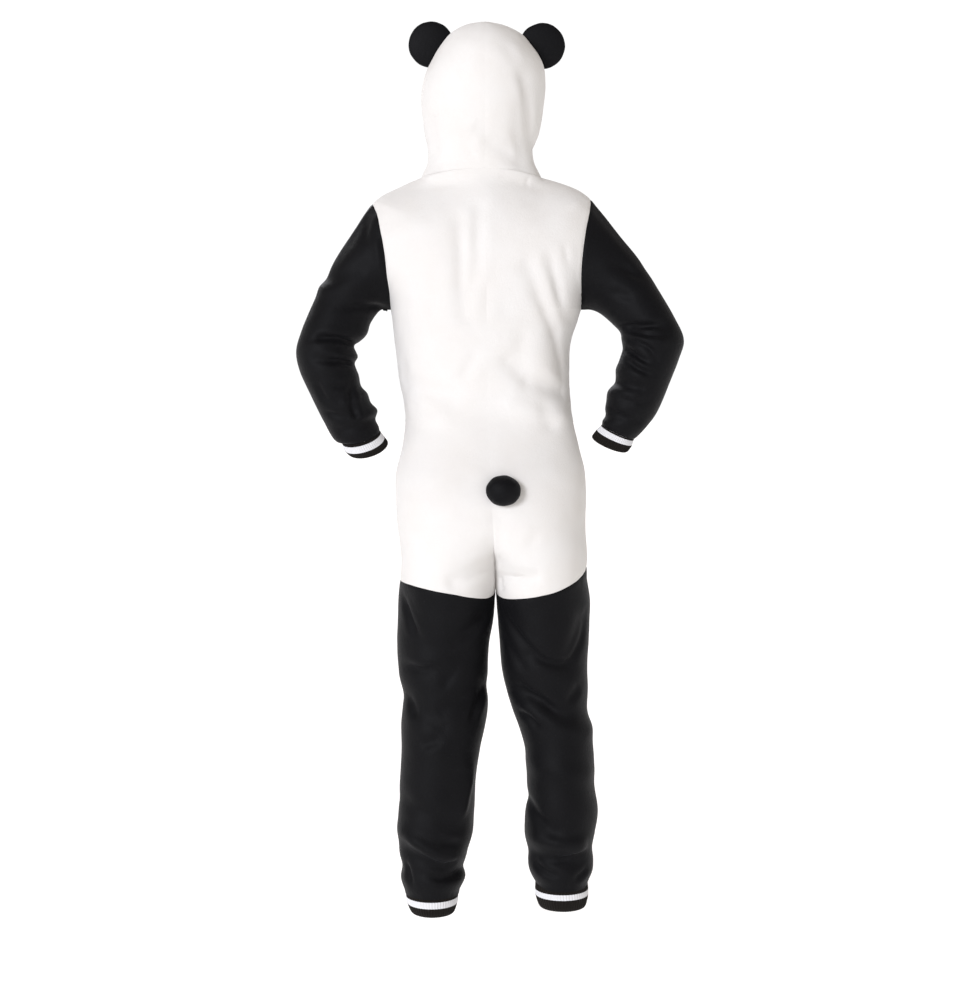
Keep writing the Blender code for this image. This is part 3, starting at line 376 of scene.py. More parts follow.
# Creases: face, half width, depth and the lip that rises beside it, then the line as x and drop. A crease
# with a depth below 0 is a soft ridge.
creases = {
    "body": [
        (1, 8, 1.8, 0.8, (35, 56), (31, 104), (29, 187)), (1, 9, 2.0, 0.8, (4, 30), (3, 115), (29, 199)),
        (1, 7, 1.4, 0.6, (-3, 145), (-11, 216)), (1, 10, 2.0, 0.8, (3, 243), (32, 297)),
        (1, 8, 1.5, 0.3, (-69, 120), (-87, 176), (-111, 228), (-126, 309)),
        (1, 7, 1.5, 0.3, (-102, 110), (-114, 158), (-124, 190)), (1, 6, 1.2, 0.2, (-122, 92), (-130, 122)),
        (1, 15, 2.8, 0.3, (-66, 208), (-58, 240), (-58, 264), (-78, 288)),
        (1, 11, 1.4, 0.8, (-64, 274), (-92, 298), (-128, 318)),
        (1, 15, 3.0, 0.3, (-98, 322), (-98, 350), (-112, 376)), (1, 10, 1.2, 0.5, (79, 163), (79, 202)),
        (1, 9, 1.4, 0.5, (118, 249), (118, 309)), (1, 9, 1.4, 0.6, (126, 320), (84, 344), (52, 350)),
        (1, 7, 1.6, 0.8, (-21, 580), (3, 588), (40, 604)), (1, 14, -2.6, 0.0, (-24, 560), (8, 584), (48, 602)),
        (1, 5, 3.2, 1.4, (-28, 596), (-50, 592), (-78, 594)), (1, 10, -3.6, 0.0, (-21, 486), (-22, 566)),
        (1, 6, 4.0, 0.0, (-25, 592), (-29, 606), (-33, 622)), (1, 10, 1.6, 0.8, (-65, 545), (-87, 522)),
        (1, 4, 1.2, 0.3, (-71, -17), (-70, -7), (-65, 5)), (-1, 9, 3.2, 1.6, (54, 96), (74, 160), (96, 222)),
        (-1, 9, 3.2, 1.6, (-60, 104), (-84, 168), (-108, 232)), (-1, 8, 2.0, 1.0, (96, 110), (112, 176)),
        (-1, 8, 3.2, 1.6, (112, 292), (74, 314), (32, 328)),
        (-1, 8, 3.2, 1.6, (-120, 288), (-84, 314), (-40, 332)), (-1, 8, 2.0, 1.0, (-36, 204), (-48, 270)),
        (-1, 8, 2.0, 1.0, (30, 232), (44, 290)), (-1, 12, 2.2, 1.0, (96, 356), (60, 376)),
        (-1, 12, 2.2, 1.0, (-104, 360), (-66, 384)), (-1, 8, 2.6, 1.2, (14, 556), (42, 576), (74, 598)),
        (-1, 8, 2.6, 1.2, (-56, 556), (-86, 578), (-114, 598)), (-1, 10, 1.8, 0.8, (26, 440), (60, 470))],
    "hood": [
        (1, 9, 1.2, 0.4, (2, -88), (-10, -60), (-50, -42)), (1, 12, -2.4, 0.0, (26, -98), (4, -80), (-18, -64)),
        (1, 10, -3.2, 0.0, (-42, -176), (-54, -132), (-57, -96), (-59, -70), (-70, -46)),
        (1, 8, 2.0, 0.4, (-66, -150), (-72, -112), (-73, -84), (-76, -58)),
        (1, 9, 1.4, 0.8, (62, -64), (86, -34)), (1, 8, 1.2, 0.6, (24, -72), (12, -34)),
        (1, 10, 1.2, 0.6, (-34, -206), (-52, -170)), (-1, 8, 2.4, 1.2, (62, -60), (84, -30)),
        (-1, 8, 2.4, 1.2, (-54, -66), (-74, -34))],
    "sleeve_left": [
        (1, 7, 1.6, 0.8, (174, 54), (179, 93)), (1, 9, -2.2, 0.0, (162, 75), (146, 138)),
        (1, 6, 3.2, 1.6, (216, 186), (190, 184), (162, 182), (148, 187)),
        (1, 5, 3.6, 1.8, (191, 243), (208, 233), (232, 230), (260, 234)),
        (1, 5, 2.8, 1.4, (195, 271), (214, 264), (240, 266)), (1, 5, 2.2, 1.2, (204, 300), (226, 306)),
        (1, 6, 3.2, 1.6, (198, 296), (196, 330), (188, 362)), (1, 6, 2.0, 1.0, (250, 296), (232, 330)),
        (1, 5, 2.2, 1.2, (236, 344), (206, 350)), (-1, 6, 3.0, 1.6, (238, 170), (200, 190), (170, 192)),
        (-1, 5, 3.4, 1.8, (192, 243), (228, 236), (262, 226)),
        (-1, 5, 3.0, 1.6, (196, 271), (236, 262), (270, 258)), (-1, 5, 2.6, 1.4, (190, 302), (222, 306)),
        (-1, 7, 2.0, 1.0, (196, 104), (214, 146)), (-1, 6, 2.6, 1.4, (206, 314), (190, 346))],
    "sleeve_right": [
        (1, 5, 3.0, 1.6, (-211, 211), (-240, 214), (-272, 211)),
        (1, 5, 2.4, 1.2, (-217, 218), (-248, 226), (-280, 228)),
        (1, 4.5, 3.0, 1.6, (-217, 231), (-248, 243), (-264, 262)),
        (1, 4.5, 2.6, 1.4, (-220, 248), (-240, 262), (-254, 272)),
        (1, 5, 3.0, 1.6, (-219, 263), (-236, 279), (-260, 287)),
        (1, 6, 2.6, 1.4, (-200, 317), (-226, 328), (-252, 326)), (1, 6, 2.0, 1.0, (-194, 340), (-222, 352)),
        (1, 7, 1.8, 0.8, (-206, 122), (-240, 140)), (1, 7, 1.6, 0.8, (-190, 160), (-232, 172)),
        (-1, 5, 3.2, 1.6, (-214, 212), (-250, 206), (-284, 214)),
        (-1, 5, 3.2, 1.6, (-216, 230), (-252, 236), (-290, 232)), (-1, 5, 2.8, 1.4, (-220, 250), (-256, 268)),
        (-1, 6, 2.6, 1.4, (-212, 282), (-240, 306)), (-1, 7, 2.0, 1.0, (-208, 104), (-236, 144)),
        (-1, 6, 2.2, 1.2, (-200, 330), (-230, 344))],
    "leg_left": [
        (1, 7, 2.8, 1.6, (121, 625), (108, 660), (94, 690)), (1, 7, 2.8, 1.4, (118, 732), (92, 736), (60, 730)),
        (1, 7, 2.4, 1.2, (112, 782), (98, 812)), (1, 9, 2.6, 1.4, (-11, 643), (14, 672), (42, 690)),
        (1, 8, 2.8, 1.4, (-3, 763), (8, 796), (20, 824)), (1, 9, 2.4, 1.2, (58, 838), (96, 852)),
        (1, 9, -2.6, 0.0, (14, 892), (27, 948), (34, 973)),
        (1, 9, -3.0, 0.0, (122, 992), (83, 1013), (47, 1032)), (1, 6, 2.2, 1.2, (67, 1000), (32, 1007)),
        (1, 6, 3.2, 1.8, (92, 1054), (60, 1060), (29, 1056)), (1, 6, 2.6, 1.4, (118, 1036), (107, 1074)),
        (1, 6, 2.2, 1.2, (60, 1040), (36, 1034)), (1, 8, 1.8, 0.8, (30, 720), (64, 770)),
        (-1, 8, 2.8, 1.4, (112, 642), (86, 690)), (-1, 8, 2.8, 1.4, (4, 650), (30, 700)),
        (-1, 7, 3.0, 1.6, (116, 744), (70, 760), (20, 748)),
        (-1, 7, 3.0, 1.6, (112, 786), (70, 792), (14, 806)), (-1, 8, 2.4, 1.2, (96, 836), (44, 850)),
        (-1, 8, 2.4, 1.2, (112, 948), (70, 970)), (-1, 6, 3.2, 1.8, (112, 1018), (80, 1034), (42, 1034)),
        (-1, 6, 3.2, 1.8, (108, 1056), (70, 1062), (44, 1052))],
    "leg_right": [
        (1, 6, 1.8, 2.2, (-28, 634), (-42, 662), (-58, 683), (-88, 716),
         (-113, 727), (-137, 722), (-152, 692), (-159, 648)),
        (1, 8, 2.2, 1.0, (-34, 689), (-52, 718), (-72, 744)),
        (1, 7, 3.2, 1.6, (-56, 764), (-88, 780), (-122, 806)),
        (1, 7, 2.6, 1.4, (-55, 803), (-72, 810), (-90, 828)), (1, 8, 2.2, 1.0, (-150, 760), (-128, 790)),
        (1, 8, 2.6, 1.4, (-72, 942), (-86, 966), (-106, 985)),
        (1, 6, 2.6, 1.4, (-108, 1033), (-144, 1025), (-164, 1022)),
        (1, 6, 3.2, 1.8, (-79, 1038), (-100, 1052), (-122, 1056)), (1, 6, 2.4, 1.2, (-166, 1048), (-140, 1066)),
        (1, 9, -2.4, 0.0, (-90, 998), (-130, 1006), (-168, 1000)), (-1, 8, 2.8, 1.4, (-150, 640), (-128, 690)),
        (-1, 8, 2.8, 1.4, (-36, 648), (-62, 700)), (-1, 7, 3.0, 1.6, (-158, 748), (-110, 764), (-58, 750)),
        (-1, 7, 3.0, 1.6, (-152, 792), (-110, 800), (-70, 812)), (-1, 8, 2.4, 1.2, (-146, 840), (-98, 856)),
        (-1, 8, 2.4, 1.2, (-158, 950), (-112, 974)), (-1, 6, 3.2, 1.8, (-158, 1016), (-122, 1034), (-88, 1032)),
        (-1, 6, 3.2, 1.8, (-152, 1056), (-116, 1062), (-92, 1052))]}
# How many cells each panel's grid has along each of its parts.
cells = dict(columns=72, yoke=60, body=126, hem=4, sleeve=152, leg=168, hood=84, zip=8)
# Where the form starts and ends, and how it is rounded: drops and lengths in millimetres, fades as shares.
form = dict(
    underarm=187.0, crotch=618.0, legEnd={"left": 1094.0, "right": 1082.0}, bodyLevels=18, zipLevels=13, zipHalf=7.0,
    zipEndTuck=0.3, shoulderRoll=0.45, tipRoll=0.02, neckFade=0.12, cornerReach=13, cornerFade=(0.08, 0.35),
    cornerPasses=160, cuffCalm=0.068, sleeveHead=0.3, legHead=0.25, hoodMiddle=-5.0, mitreLimit=1.4, weld=0.02,
    weldOffset=0.137)


# A smooth curve through a table's values.
def smooth(knots, values, at):
    at = np.clip(np.asarray(at, float), knots[0], knots[-1])
    slopes = np.gradient(values, knots)
    low = np.clip(np.searchsorted(knots, at, side="right") - 1, 0, len(knots) - 2)
    step = knots[low + 1] - knots[low]
    t = (at - knots[low]) / step
    return ((2 * t**3 - 3 * t**2 + 1) * values[low] + (t**3 - 2 * t**2 + t) * step * slopes[low]
            + (3 * t**2 - 2 * t**3) * values[low + 1] + (t**3 - t**2) * step * slopes[low + 1])


def read(rows, key, name, at):
    return smooth(rows[key], rows[name], at)


def ease(t):
    t = np.clip(t, 0, 1)
    return t * t * (3 - 2 * t)


# How far each point is along its row of points.
def runAlong(points, axis=0):
    steps = np.linalg.norm(np.diff(points, axis=axis), axis=-1)
    return np.cumsum(np.concatenate([0 * steps.take([0], axis=axis), steps], axis=axis), axis=axis)


def power(value, exponent):
    return np.sign(value) * np.abs(value) ** exponent


# One line of the hood, from the middle of the back, along 0, to the face's edge, along 1.
def hoodRow(side, level, along):
    value = {name: float(read(hood, "level", name, level)) for name in hood}
    half = max(value[side], 1e-6)
    backTurn = np.pi * np.minimum(along, 0.5)
    end = math.acos(min(max(value["face_half"], 0) / half, 1)) if level < 1 else math.pi / 2
    frontTurn = end * np.clip(2 * along - 1, 0, 1)
    front = along > 0.5
    x = np.where(front, half * np.cos(frontTurn), half * np.sin(backTurn))
    y = np.where(front, -value["face"] / math.sin(end) * np.sin(frontTurn), value["back"] * np.cos(backTurn))
    frontDrop = (value["face_drop"] - value["side_drop"]) * (np.sin(frontTurn) / math.sin(end)) ** 2
    backDrop = (value["back_drop"] - value["side_drop"]) * np.cos(backTurn) ** 2
    drop = value["side_drop"] + np.where(front, frontDrop, backDrop)
    return np.stack([form["hoodMiddle"] + sides[side] * x, y, -drop], axis=-1)


# The yoke's upper edge: half the neckline, then the shoulder seam.
def topEdge(side, face):
    half = cells["columns"] // 2
    share = np.linspace(0, 0.5, half + 1)
    neck = hoodRow(side, 0, share if face == "back" else 1 - share)
    along = np.linspace(0, 1, half + 1)[1:]
    tip = form["hoodMiddle"] + sides[side] * yoke[side][0]
    x = neck[-1, 0] + (tip - neck[-1, 0]) * along
    return np.vstack([neck, np.stack([x, 0 * x, -read(shoulder, "along", side, along)], axis=-1)])


# One line around a quarter of the body, from its middle, at share 0, to its side.
def bodyPoints(side, face, drop, share, gap):
    width = read(body, "drop", side, drop)
    split = read(body, "drop", "split", drop)
    bend = 2 / read(body, "drop", "square", drop)
    radius = width / (1 + split)
    start = np.arccos(np.clip(power((gap - width + radius) / radius, 1 / bend), -1, 1))
    turn = start * (1 - share)
    x = width - radius + radius * power(np.cos(turn), bend)
    y = faces[face] * read(body, "drop", face, drop) * np.abs(np.sin(turn)) ** bend
    return np.stack([read(body, "drop", "middle", drop) + sides[side] * x, y, -drop], axis=-1)


# One line of the yoke: the neck and the shoulder roll over at the top, and it ends as the body's first line.
def yokeRow(side, face, level, gap):
    top = topEdge(side, face)
    columns = cells["columns"]
    share = np.linspace(0, 1, columns + 1)
    value = {name: float(read(yoke, "level", name, level)) for name in yoke}
    low = bodyPoints(side, face, np.full(share.shape, form["underarm"]), share, gap)
    lowPart = np.abs(low[:, 0] - body["middle"][0]) / body[side][0]
    highPart = np.abs(top[:, 0] - form["hoodMiddle"]) / yoke[side][0]
    x = value[side] * (highPart + (lowPart - highPart) * ease(level))
    square = body["square"][0]
    edge = max(value["hole_" + face], 0) / value[face]
    reach = value[side] / (1 - edge**square) ** (1 / square)
    full = value[face] * (1 - np.minimum(x / reach, 1) ** square) ** (1 / square)
    pastNeck = np.clip(2 * share - 1, 0, 1)
    span = form["shoulderRoll"] * (1 - pastNeck) + form["tipRoll"]
    roll = np.sqrt(1 - (1 - np.minimum(level / span, 1)) ** 2)
    neck = np.abs(top[:, 1])
    neckPoint = top[columns // 2, 0] - form["hoodMiddle"]
    fromMiddle = np.minimum(np.abs((top[:, 0] - form["hoodMiddle"]) / neckPoint), 1)
    neck = neck + (neck[0] * (1 - ease(fromMiddle)) - neck) * ease(level / form["neckFade"])
    y = neck + (full - neck) * roll
    z = top[:, 2] * (1 - level) - form["underarm"] * level
    # The neck's corner is rounded off between the shoulder seam and the underarm.
    corner = np.exp(-((np.arange(columns + 1) - columns / 2) / form["cornerReach"]) ** 2)
    corner *= ease(level / form["cornerFade"][0]) * ease((1 - level) / form["cornerFade"][1])
    row = np.stack([value["middle"] + sides[side] * x, faces[face] * y, z], axis=-1)
    for _ in range(form["cornerPasses"]):
        row[1:-1] += corner[1:-1, None] * (row[:-2] - 2 * row[1:-1] + row[2:]) / 4
    return row


def hemDrop(side, turn):
    return read(hem, "angle", side, np.abs(np.degrees(turn)))


# A quarter of the body, from the shoulder seam down to the thigh line.
def bodyPanel(side, face):
    isFront = face == "front"
    share = np.linspace(0, 1, cells["columns"] + 1)
    rows = [yokeRow(side, face, (1 - math.cos(math.pi * row / cells["yoke"])) / 2, form["zipHalf"] * isFront)
            for row in range(cells["yoke"] + 1)]
    low = hemDrop(side, np.pi * (1 - share))
    crotchLevel = (form["crotch"] - form["underarm"]) / (hem[side][-1] - form["underarm"])
    steps = [(row / cells["body"] * form["bodyLevels"], row / cells["body"] * crotchLevel)
             for row in range(1, cells["body"] + 1)]
    steps += [(form["bodyLevels"], crotchLevel + (1 - crotchLevel) * row / cells["hem"])
              for row in range(1, cells["hem"] + 1)]
    for coarse, level in steps:
        gap = form["zipHalf"] * isFront * min(max(form["zipLevels"] + 1 - coarse, 0), 1)
        rows.append(bodyPoints(side, face, form["underarm"] + (low - form["underarm"]) * level, share, gap))
    return np.array(rows)


def hoodPanel(side):
    along = np.linspace(0, 1, cells["columns"] + 1)
    return np.array([hoodRow(side, row / cells["hood"], along) for row in range(cells["hood"] + 1)])


# A ring of a sleeve or its cuff, tilted as the arm is.
def ringPoints(side, rows, at, turn):
    knots = np.arange(len(rows["outer"]), dtype=float)
    value = {name: float(smooth(knots, rows[name], at)) for name in rows}
    out = (1 + np.cos(turn)) / 2
    x = value["inner"] + (value["outer"] - value["inner"]) * out
    drop = value["inner_drop"] + (value["outer_drop"] - value["inner_drop"]) * out
    across = np.array([value["outer"] - value["inner"], value["outer_drop"] - value["inner_drop"]])
    dip = value["dip"] * np.sin(turn) / np.linalg.norm(across)
    return np.stack([sides[side] * (x - across[1] * dip), value["middle"] + value["half"] * np.sin(turn),
                     -drop - across[0] * dip], axis=-1)


# The sleeve starts on the armhole's own points and eases onto its rings.
def sleeveTube(side, back, front):
    count = cells["yoke"]
    hole = np.vstack([back[:count + 1, -1], front[count - 1:0:-1, -1]])
    turn = np.pi * np.arange(2 * count) / count
    off = hole - ringPoints(side, sleeves[side], 0, turn)
    rows = []
    for row in range(cells["sleeve"] + 1):
        at = row / cells["sleeve"]
        points = ringPoints(side, sleeves[side], at * (len(sleeves[side]["outer"]) - 1), turn)
        rows.append(points + off * (1 - ease(at / form["sleeveHead"])))
    return np.array(rows)


def legPoints(side, rows, drop, turn):
    outer, inner = (read(rows, "drop", name, drop) for name in ("outer", "inner"))
    x = (outer + inner) / 2 + (outer - inner) / 2 * np.cos(turn)
    depth = np.where(np.sin(turn) > 0, read(rows, "drop", "back", drop), read(rows, "drop", "front", drop))
    return np.stack([sides[side] * x, depth * np.sin(turn), -drop * np.ones_like(turn)], axis=-1)


# The leg starts on the body's lower edge and eases onto its rings.
def legTube(side, back, front):
    top = np.vstack([back[-1], front[-1, -2:0:-1]])
    columns = cells["columns"]
    turn = np.pi * (1 - np.arange(2 * columns) / columns)
    start = hemDrop(side, turn)
    off = top - legPoints(side, legs[side], start, turn)
    rows = []
    for row in range(cells["leg"] + 1):
        at = row / cells["leg"]
        points = legPoints(side, legs[side], start + (form["legEnd"][side] - start) * at, turn)
        rows.append(points + off * (1 - ease(at / form["legHead"])))
    return np.array(rows)


# The tape fills the gap between the fronts' edges, down to where the gap closes.
def zipStrip(left, right):
    last = cells["yoke"] + round((form["zipLevels"] + 1) / form["bodyLevels"] * cells["body"])
    share = np.linspace(0, 1, cells["zip"] + 1)[None, :, None]
    strip = left[:last + 1, :1] * (1 - share) + right[:last + 1, :1] * share
    strip[-1, :, 0] += form["zipEndTuck"] * (1 - 2 * share[0, :, 0])
    return strip


# Each panel's grid of points, with the side that its normals face, whether it closes to a tube and its folds.
def garmentGrids():
    panels = {(side, face): bodyPanel(side, face) for side in sides for face in faces}
    grids = {}
    for (side, face), points in panels.items():
        grids[face + "_" + side] = dict(points=points, flip=sides[side] * faces[face], closed=False, folds="body")
    for side, sign in sides.items():
        back, front = panels[side, "back"], panels[side, "front"]
        grids["sleeve_" + side] = dict(points=sleeveTube(side, back, front), flip=-sign, closed=True,
                                       folds="sleeve_" + side)
        grids["leg_" + side] = dict(points=legTube(side, back, front), flip=sign, closed=True, folds="leg_" + side)
        grids["hood_" + side] = dict(points=hoodPanel(side), flip=-sign, closed=False, folds="hood")
    grids["zip_tape"] = dict(points=zipStrip(panels["left", "front"], panels["right", "front"]), flip=1,
                             closed=False, folds=None)
    return grids


# Normals that neighbouring panels share along their seams, lengthened where a corner needs a mitre.
def jointNormals(grids):
    places, totals, areas = [], [], []
    for grid in grids.values():
        points = grid["points"]
        if grid["closed"]:
            points = np.concatenate([points, points[:, :1]], axis=1)
        face = np.cross(points[1:, 1:] - points[:-1, :-1], points[1:, :-1] - points[:-1, 1:]) * grid["flip"]
        total = np.zeros_like(points)
        area = np.zeros(points.shape[:2])
        for row in (slice(0, -1), slice(1, None)):
            for column in (slice(0, -1), slice(1, None)):
                total[row, column] += face
                area[row, column] += np.linalg.norm(face, axis=-1)
        places.append(points.reshape(-1, 3))
        totals.append(total.reshape(-1, 3))
        areas.append(area.ravel())
    keys = np.round(np.vstack(places) / form["weld"] + form["weldOffset"]).astype(int)
    shared = np.unique(keys, axis=0, return_inverse=True)[1].ravel()
    summed = np.zeros((shared.max() + 1, 3))
    weight = np.zeros(shared.max() + 1)
    np.add.at(summed, shared, np.vstack(totals))
    np.add.at(weight, shared, np.concatenate(areas))
    length = np.maximum(np.linalg.norm(summed, axis=1), 1e-9)
    normals = summed / length[:, None] * np.clip(weight / length, 1, form["mitreLimit"])[:, None]
    start = 0
    for grid in grids.values():
        rows, columns = grid["points"].shape[:2]
        count = rows * (columns + grid["closed"])
        grid["normals"] = normals[shared[start:start + count]].reshape(rows, -1, 3)[:, :columns]
        start += count


# How far the large folds lift the cloth, or sink it. They fade out above a cuff.
def foldRise(grid):
    points, normals = grid["points"], grid["normals"]
    troughs, ridges = np.zeros(points.shape[:2]), np.zeros(points.shape[:2])
    if grid["folds"] is None:
        return ridges
    place = np.stack([points[..., 0], -points[..., 2]], axis=-1)
    for face, x, drop, toX, toDrop, width, height in zip(*folds[grid["folds"]].values()):
        start, line = np.array([x, drop]), np.array([toX - x, toDrop - drop])
        along = np.clip((place - start) @ line / (line @ line), 0, 1)
        away = np.linalg.norm(place - start - along[..., None] * line, axis=-1)
        facing = np.clip(2 * face * normals[..., 1], 0, 1) if face else 1
        amount = abs(height) * np.exp(-(away / width) ** 2) * facing
        if height < 0:
            troughs += amount**3
        else:
            ridges += amount**3
    rise = np.cbrt(ridges) - np.cbrt(troughs)
    if grid["closed"]:
        last = grid["points"].shape[0] - 1
        rise *= ease((last - np.arange(last + 1)) / (form["cuffCalm"] * last))[:, None]
    return rise


# How far each point is from its panel's four edges, along the cloth.
def edgeDistances(grid):
    down, across = runAlong(grid["points"]), runAlong(grid["points"], axis=1)
    return dict(top=down, bottom=down[-1:] - down, first=across, last=across[:, -1:] - across)


crease = dict(step=5, facing=-0.1, smoothings=2, reach=4, endShare=0.15, taper=0.32, lipAt=1.7, lipWidth=1.1,
              backLip=0.4, backLipAt=1.9, backLipWidth=1.3, blackDepth=1.5, blackLip=0.8)


# Lays a crease's line, given as x and drop, onto the nearest points of the panels on its face.
def creaseLine(groups, face, path):
    path = np.array(path, float)
    run = runAlong(path)
    knots = np.linspace(0, run[-1], max(int(run[-1] / crease["step"]), 2) + 1)
    flat = np.stack([np.interp(knots, run, path[:, i]) for i in (0, 1)], axis=-1)
    points = np.concatenate([grid["points"].reshape(-1, 3) for grid in groups])
    normals = np.concatenate([grid["normals"].reshape(-1, 3) for grid in groups])
    points = points[face * normals[:, 1] > crease["facing"]]
    line = []
    for x, drop in flat:
        away = (points[:, 0] - x) ** 2 + (points[:, 2] + drop) ** 2
        line.append(points[away.argmin()])
    line = np.array(line)
    for _ in range(crease["smoothings"]):
        line[1:-1] = (line[:-2] + 2 * line[1:-1] + line[2:]) / 4
    return line


# A narrow trough along the line, with a lip on one side, a lower one on the other, and ends that fade.
def creaseRise(points, normals, line, width, depth, lip):
    rise = np.zeros(len(points))
    reach = crease["reach"] * width
    near = np.flatnonzero(((points > line.min(axis=0) - reach) & (points < line.max(axis=0) + reach)).all(axis=1))
    if not len(near):
        return rise
    starts = runAlong(line)
    best = np.full(len(near), np.inf)
    across, along = np.zeros(len(near)), np.zeros(len(near))
    for i, step in enumerate(np.linalg.norm(np.diff(line, axis=0), axis=1)):
        if step < 1e-6:
            continue
        way = (line[i + 1] - line[i]) / step
        offset = points[near] - line[i]
        run = np.clip(offset @ way, 0, step)
        gap = offset - run[:, None] * way
        away = np.linalg.norm(gap, axis=1)
        side = np.sign((np.cross(way, gap) * normals[near]).sum(axis=1))
        closer = away < best
        best = np.where(closer, away, best)
        across = np.where(closer, side * away, across)
        along = np.where(closer, starts[i] + run, along)
    total = max(starts[-1], 1e-6)
    share = crease["endShare"]
    taper = share + (1 - share) * ease(np.minimum(along, total - along) / (crease["taper"] * total))
    u = across / width
    shape = (-depth * np.exp(-u**2) + lip * np.exp(-((u - crease["lipAt"]) / crease["lipWidth"]) ** 2)
             + crease["backLip"] * lip * np.exp(-((u + crease["backLipAt"]) / crease["backLipWidth"]) ** 2))
    rise[near] = shape * taper
    return rise


# Uneven cloth: height, wave length and where the noise is read. The black cloth's fine waves are lower.
uneven = dict(broad=(1.6, 70, 3.7), fine=(0.6, 24, 9.1), blackFine=0.5)


def clothNoise(points, length, seed):
    return np.array([noise.noise(Vector(point / length) + Vector((seed, 0, 0))) for point in points])


# How deep the cloth sinks at each edge of a panel, as a share of the depth. The middle seam of the back is
# faint, deepens over the seat and closes at the crotch. Grooves fade where four panels meet.
seamDepths = {
    "back": dict(last=1.0, top=0.08, bottom=1.0), "front": dict(first=0.5, last=1.0, top=0.08, bottom=1.0),
    "hood": dict(first=0.25, top=0.08, bottom=0.5), "sleeve": dict(top=1.0, bottom=0.8),
    "leg": dict(top=1.0, bottom=0.8)}
seam = dict(depth=1.2, width=3.2, puckerRise=0.5, puckerReach=9, puckerLength=9, puckerSeed=5.3,
            puckerGain=1.3, stillReach=14, faceHem=6, backSeam=0.08, seatSeam=0.37, seatFrom=500,
            seatReach=80, seamEnd=590, seamEndReach=20, crotchHalf=16, crotchFrom=570, crotchReach=25,
            armpitShare=0.85, armpitReach=35)


# The groove and the pucker of a panel's seams, and how far creases are held still there.
def seamRise(name, grid):
    edges = edgeDistances(grid)
    drop = -grid["points"][..., 2]
    kind = name.split("_")[0]
    sink = dict(seamDepths[kind])
    if kind == "back":
        sink["first"] = (seam["backSeam"]
                         + seam["seatSeam"] * ease((drop - seam["seatFrom"]) / seam["seatReach"])
                         - (seam["backSeam"] + seam["seatSeam"])
                         * ease((drop - seam["seamEnd"]) / seam["seamEndReach"]))
    underarm = form["underarm"]
    still = [edges["top"], edges["last"] + seam["faceHem"] if kind == "hood" else edges["bottom"]]
    if kind in faces:
        still.append(np.hypot(edges["last"], np.maximum(drop - underarm, 0)))
    groove, pucker = np.zeros(drop.shape), np.zeros(drop.shape)
    for edge, amount in sink.items():
        groove = np.maximum(groove, amount * np.exp(-(edges[edge] / seam["width"]) ** 2))
        pucker = np.maximum(pucker, np.minimum(amount * seam["puckerGain"], 1)
                            * np.exp(-(edges[edge] / seam["puckerReach"]) ** 2))
    fade = np.ones(drop.shape)
    if kind in ("back", "front", "leg"):
        fade *= 1 - (np.exp(-((grid["points"][..., 0] - body["middle"][-1]) / seam["crotchHalf"]) ** 2)
                     * ease((drop - seam["crotchFrom"]) / seam["crotchReach"]))
    if kind in ("back", "front", "sleeve"):
        fade *= 1 - seam["armpitShare"] * np.exp(-((drop - underarm) / seam["armpitReach"]) ** 2)
    calm = np.prod([ease(away / seam["stillReach"]) for away in still], axis=0)
    return groove * fade * seam["depth"], pucker * fade * seam["puckerRise"], calm


grids = garmentGrids()
jointNormals(grids)
for grid in grids.values():
    grid["points"] = grid["points"] + foldRise(grid)[..., None] * grid["normals"]
jointNormals(grids)
print("large folds laid in", len(grids), "panels")

groups = {}
for grid in grids.values():
    groups.setdefault(grid["folds"], []).append(grid)
lines = {}
for kind, rows in creases.items():
    black = kind not in ("body", "hood")
    deeper, higher = (crease["blackDepth"], crease["blackLip"]) if black else (1, 1)
    lines[kind] = [(creaseLine(groups[kind], face, path), width, depth * deeper, lip * higher)
                   for face, width, depth, lip, *path in rows]
for name, grid in grids.items():
    if name == "zip_tape":
        continue
    flat = grid["points"].reshape(-1, 3)
    unit = grid["normals"].reshape(-1, 3)
    unit = unit / np.linalg.norm(unit, axis=1, keepdims=True)
    rise = sum(creaseRise(flat, unit, *row) for row in lines[grid["folds"]])
    for wave, share in (("broad", 1), ("fine", uneven["blackFine"] if grid["closed"] else 1)):
        height, *where = uneven[wave]
        rise += share * height * clothNoise(flat, *where)
    groove, pucker, calm = seamRise(name, grid)
    ripple = clothNoise(flat, seam["puckerLength"], seam["puckerSeed"]).reshape(groove.shape)
    rise = rise.reshape(groove.shape) * calm - groove + pucker * ripple
    grid["points"] = grid["points"] + rise[..., None] * unit.reshape(grid["points"].shape)
# The tape is sewn to the fronts' edges, so it follows them.
grids["zip_tape"]["points"] = zipStrip(grids["front_left"]["points"], grids["front_right"]["points"])
jointNormals(grids)
print("creases and seams laid in")


def finishPiece(name, shape, finish, node=None, sharpAngle=None):
    bmesh.ops.recalc_face_normals(shape, faces=shape.faces)
    mesh = bpy.data.meshes.new(name)
    shape.to_mesh(mesh)
    shape.free()
    mesh.shade_smooth()
    if sharpAngle:
        mesh.set_sharp_from_angle(angle=math.radians(sharpAngle))
    mesh.materials.append(finish)
    piece = addObject(name, mesh)
    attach(piece, "garment")
    if node:
        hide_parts(node)
    return piece


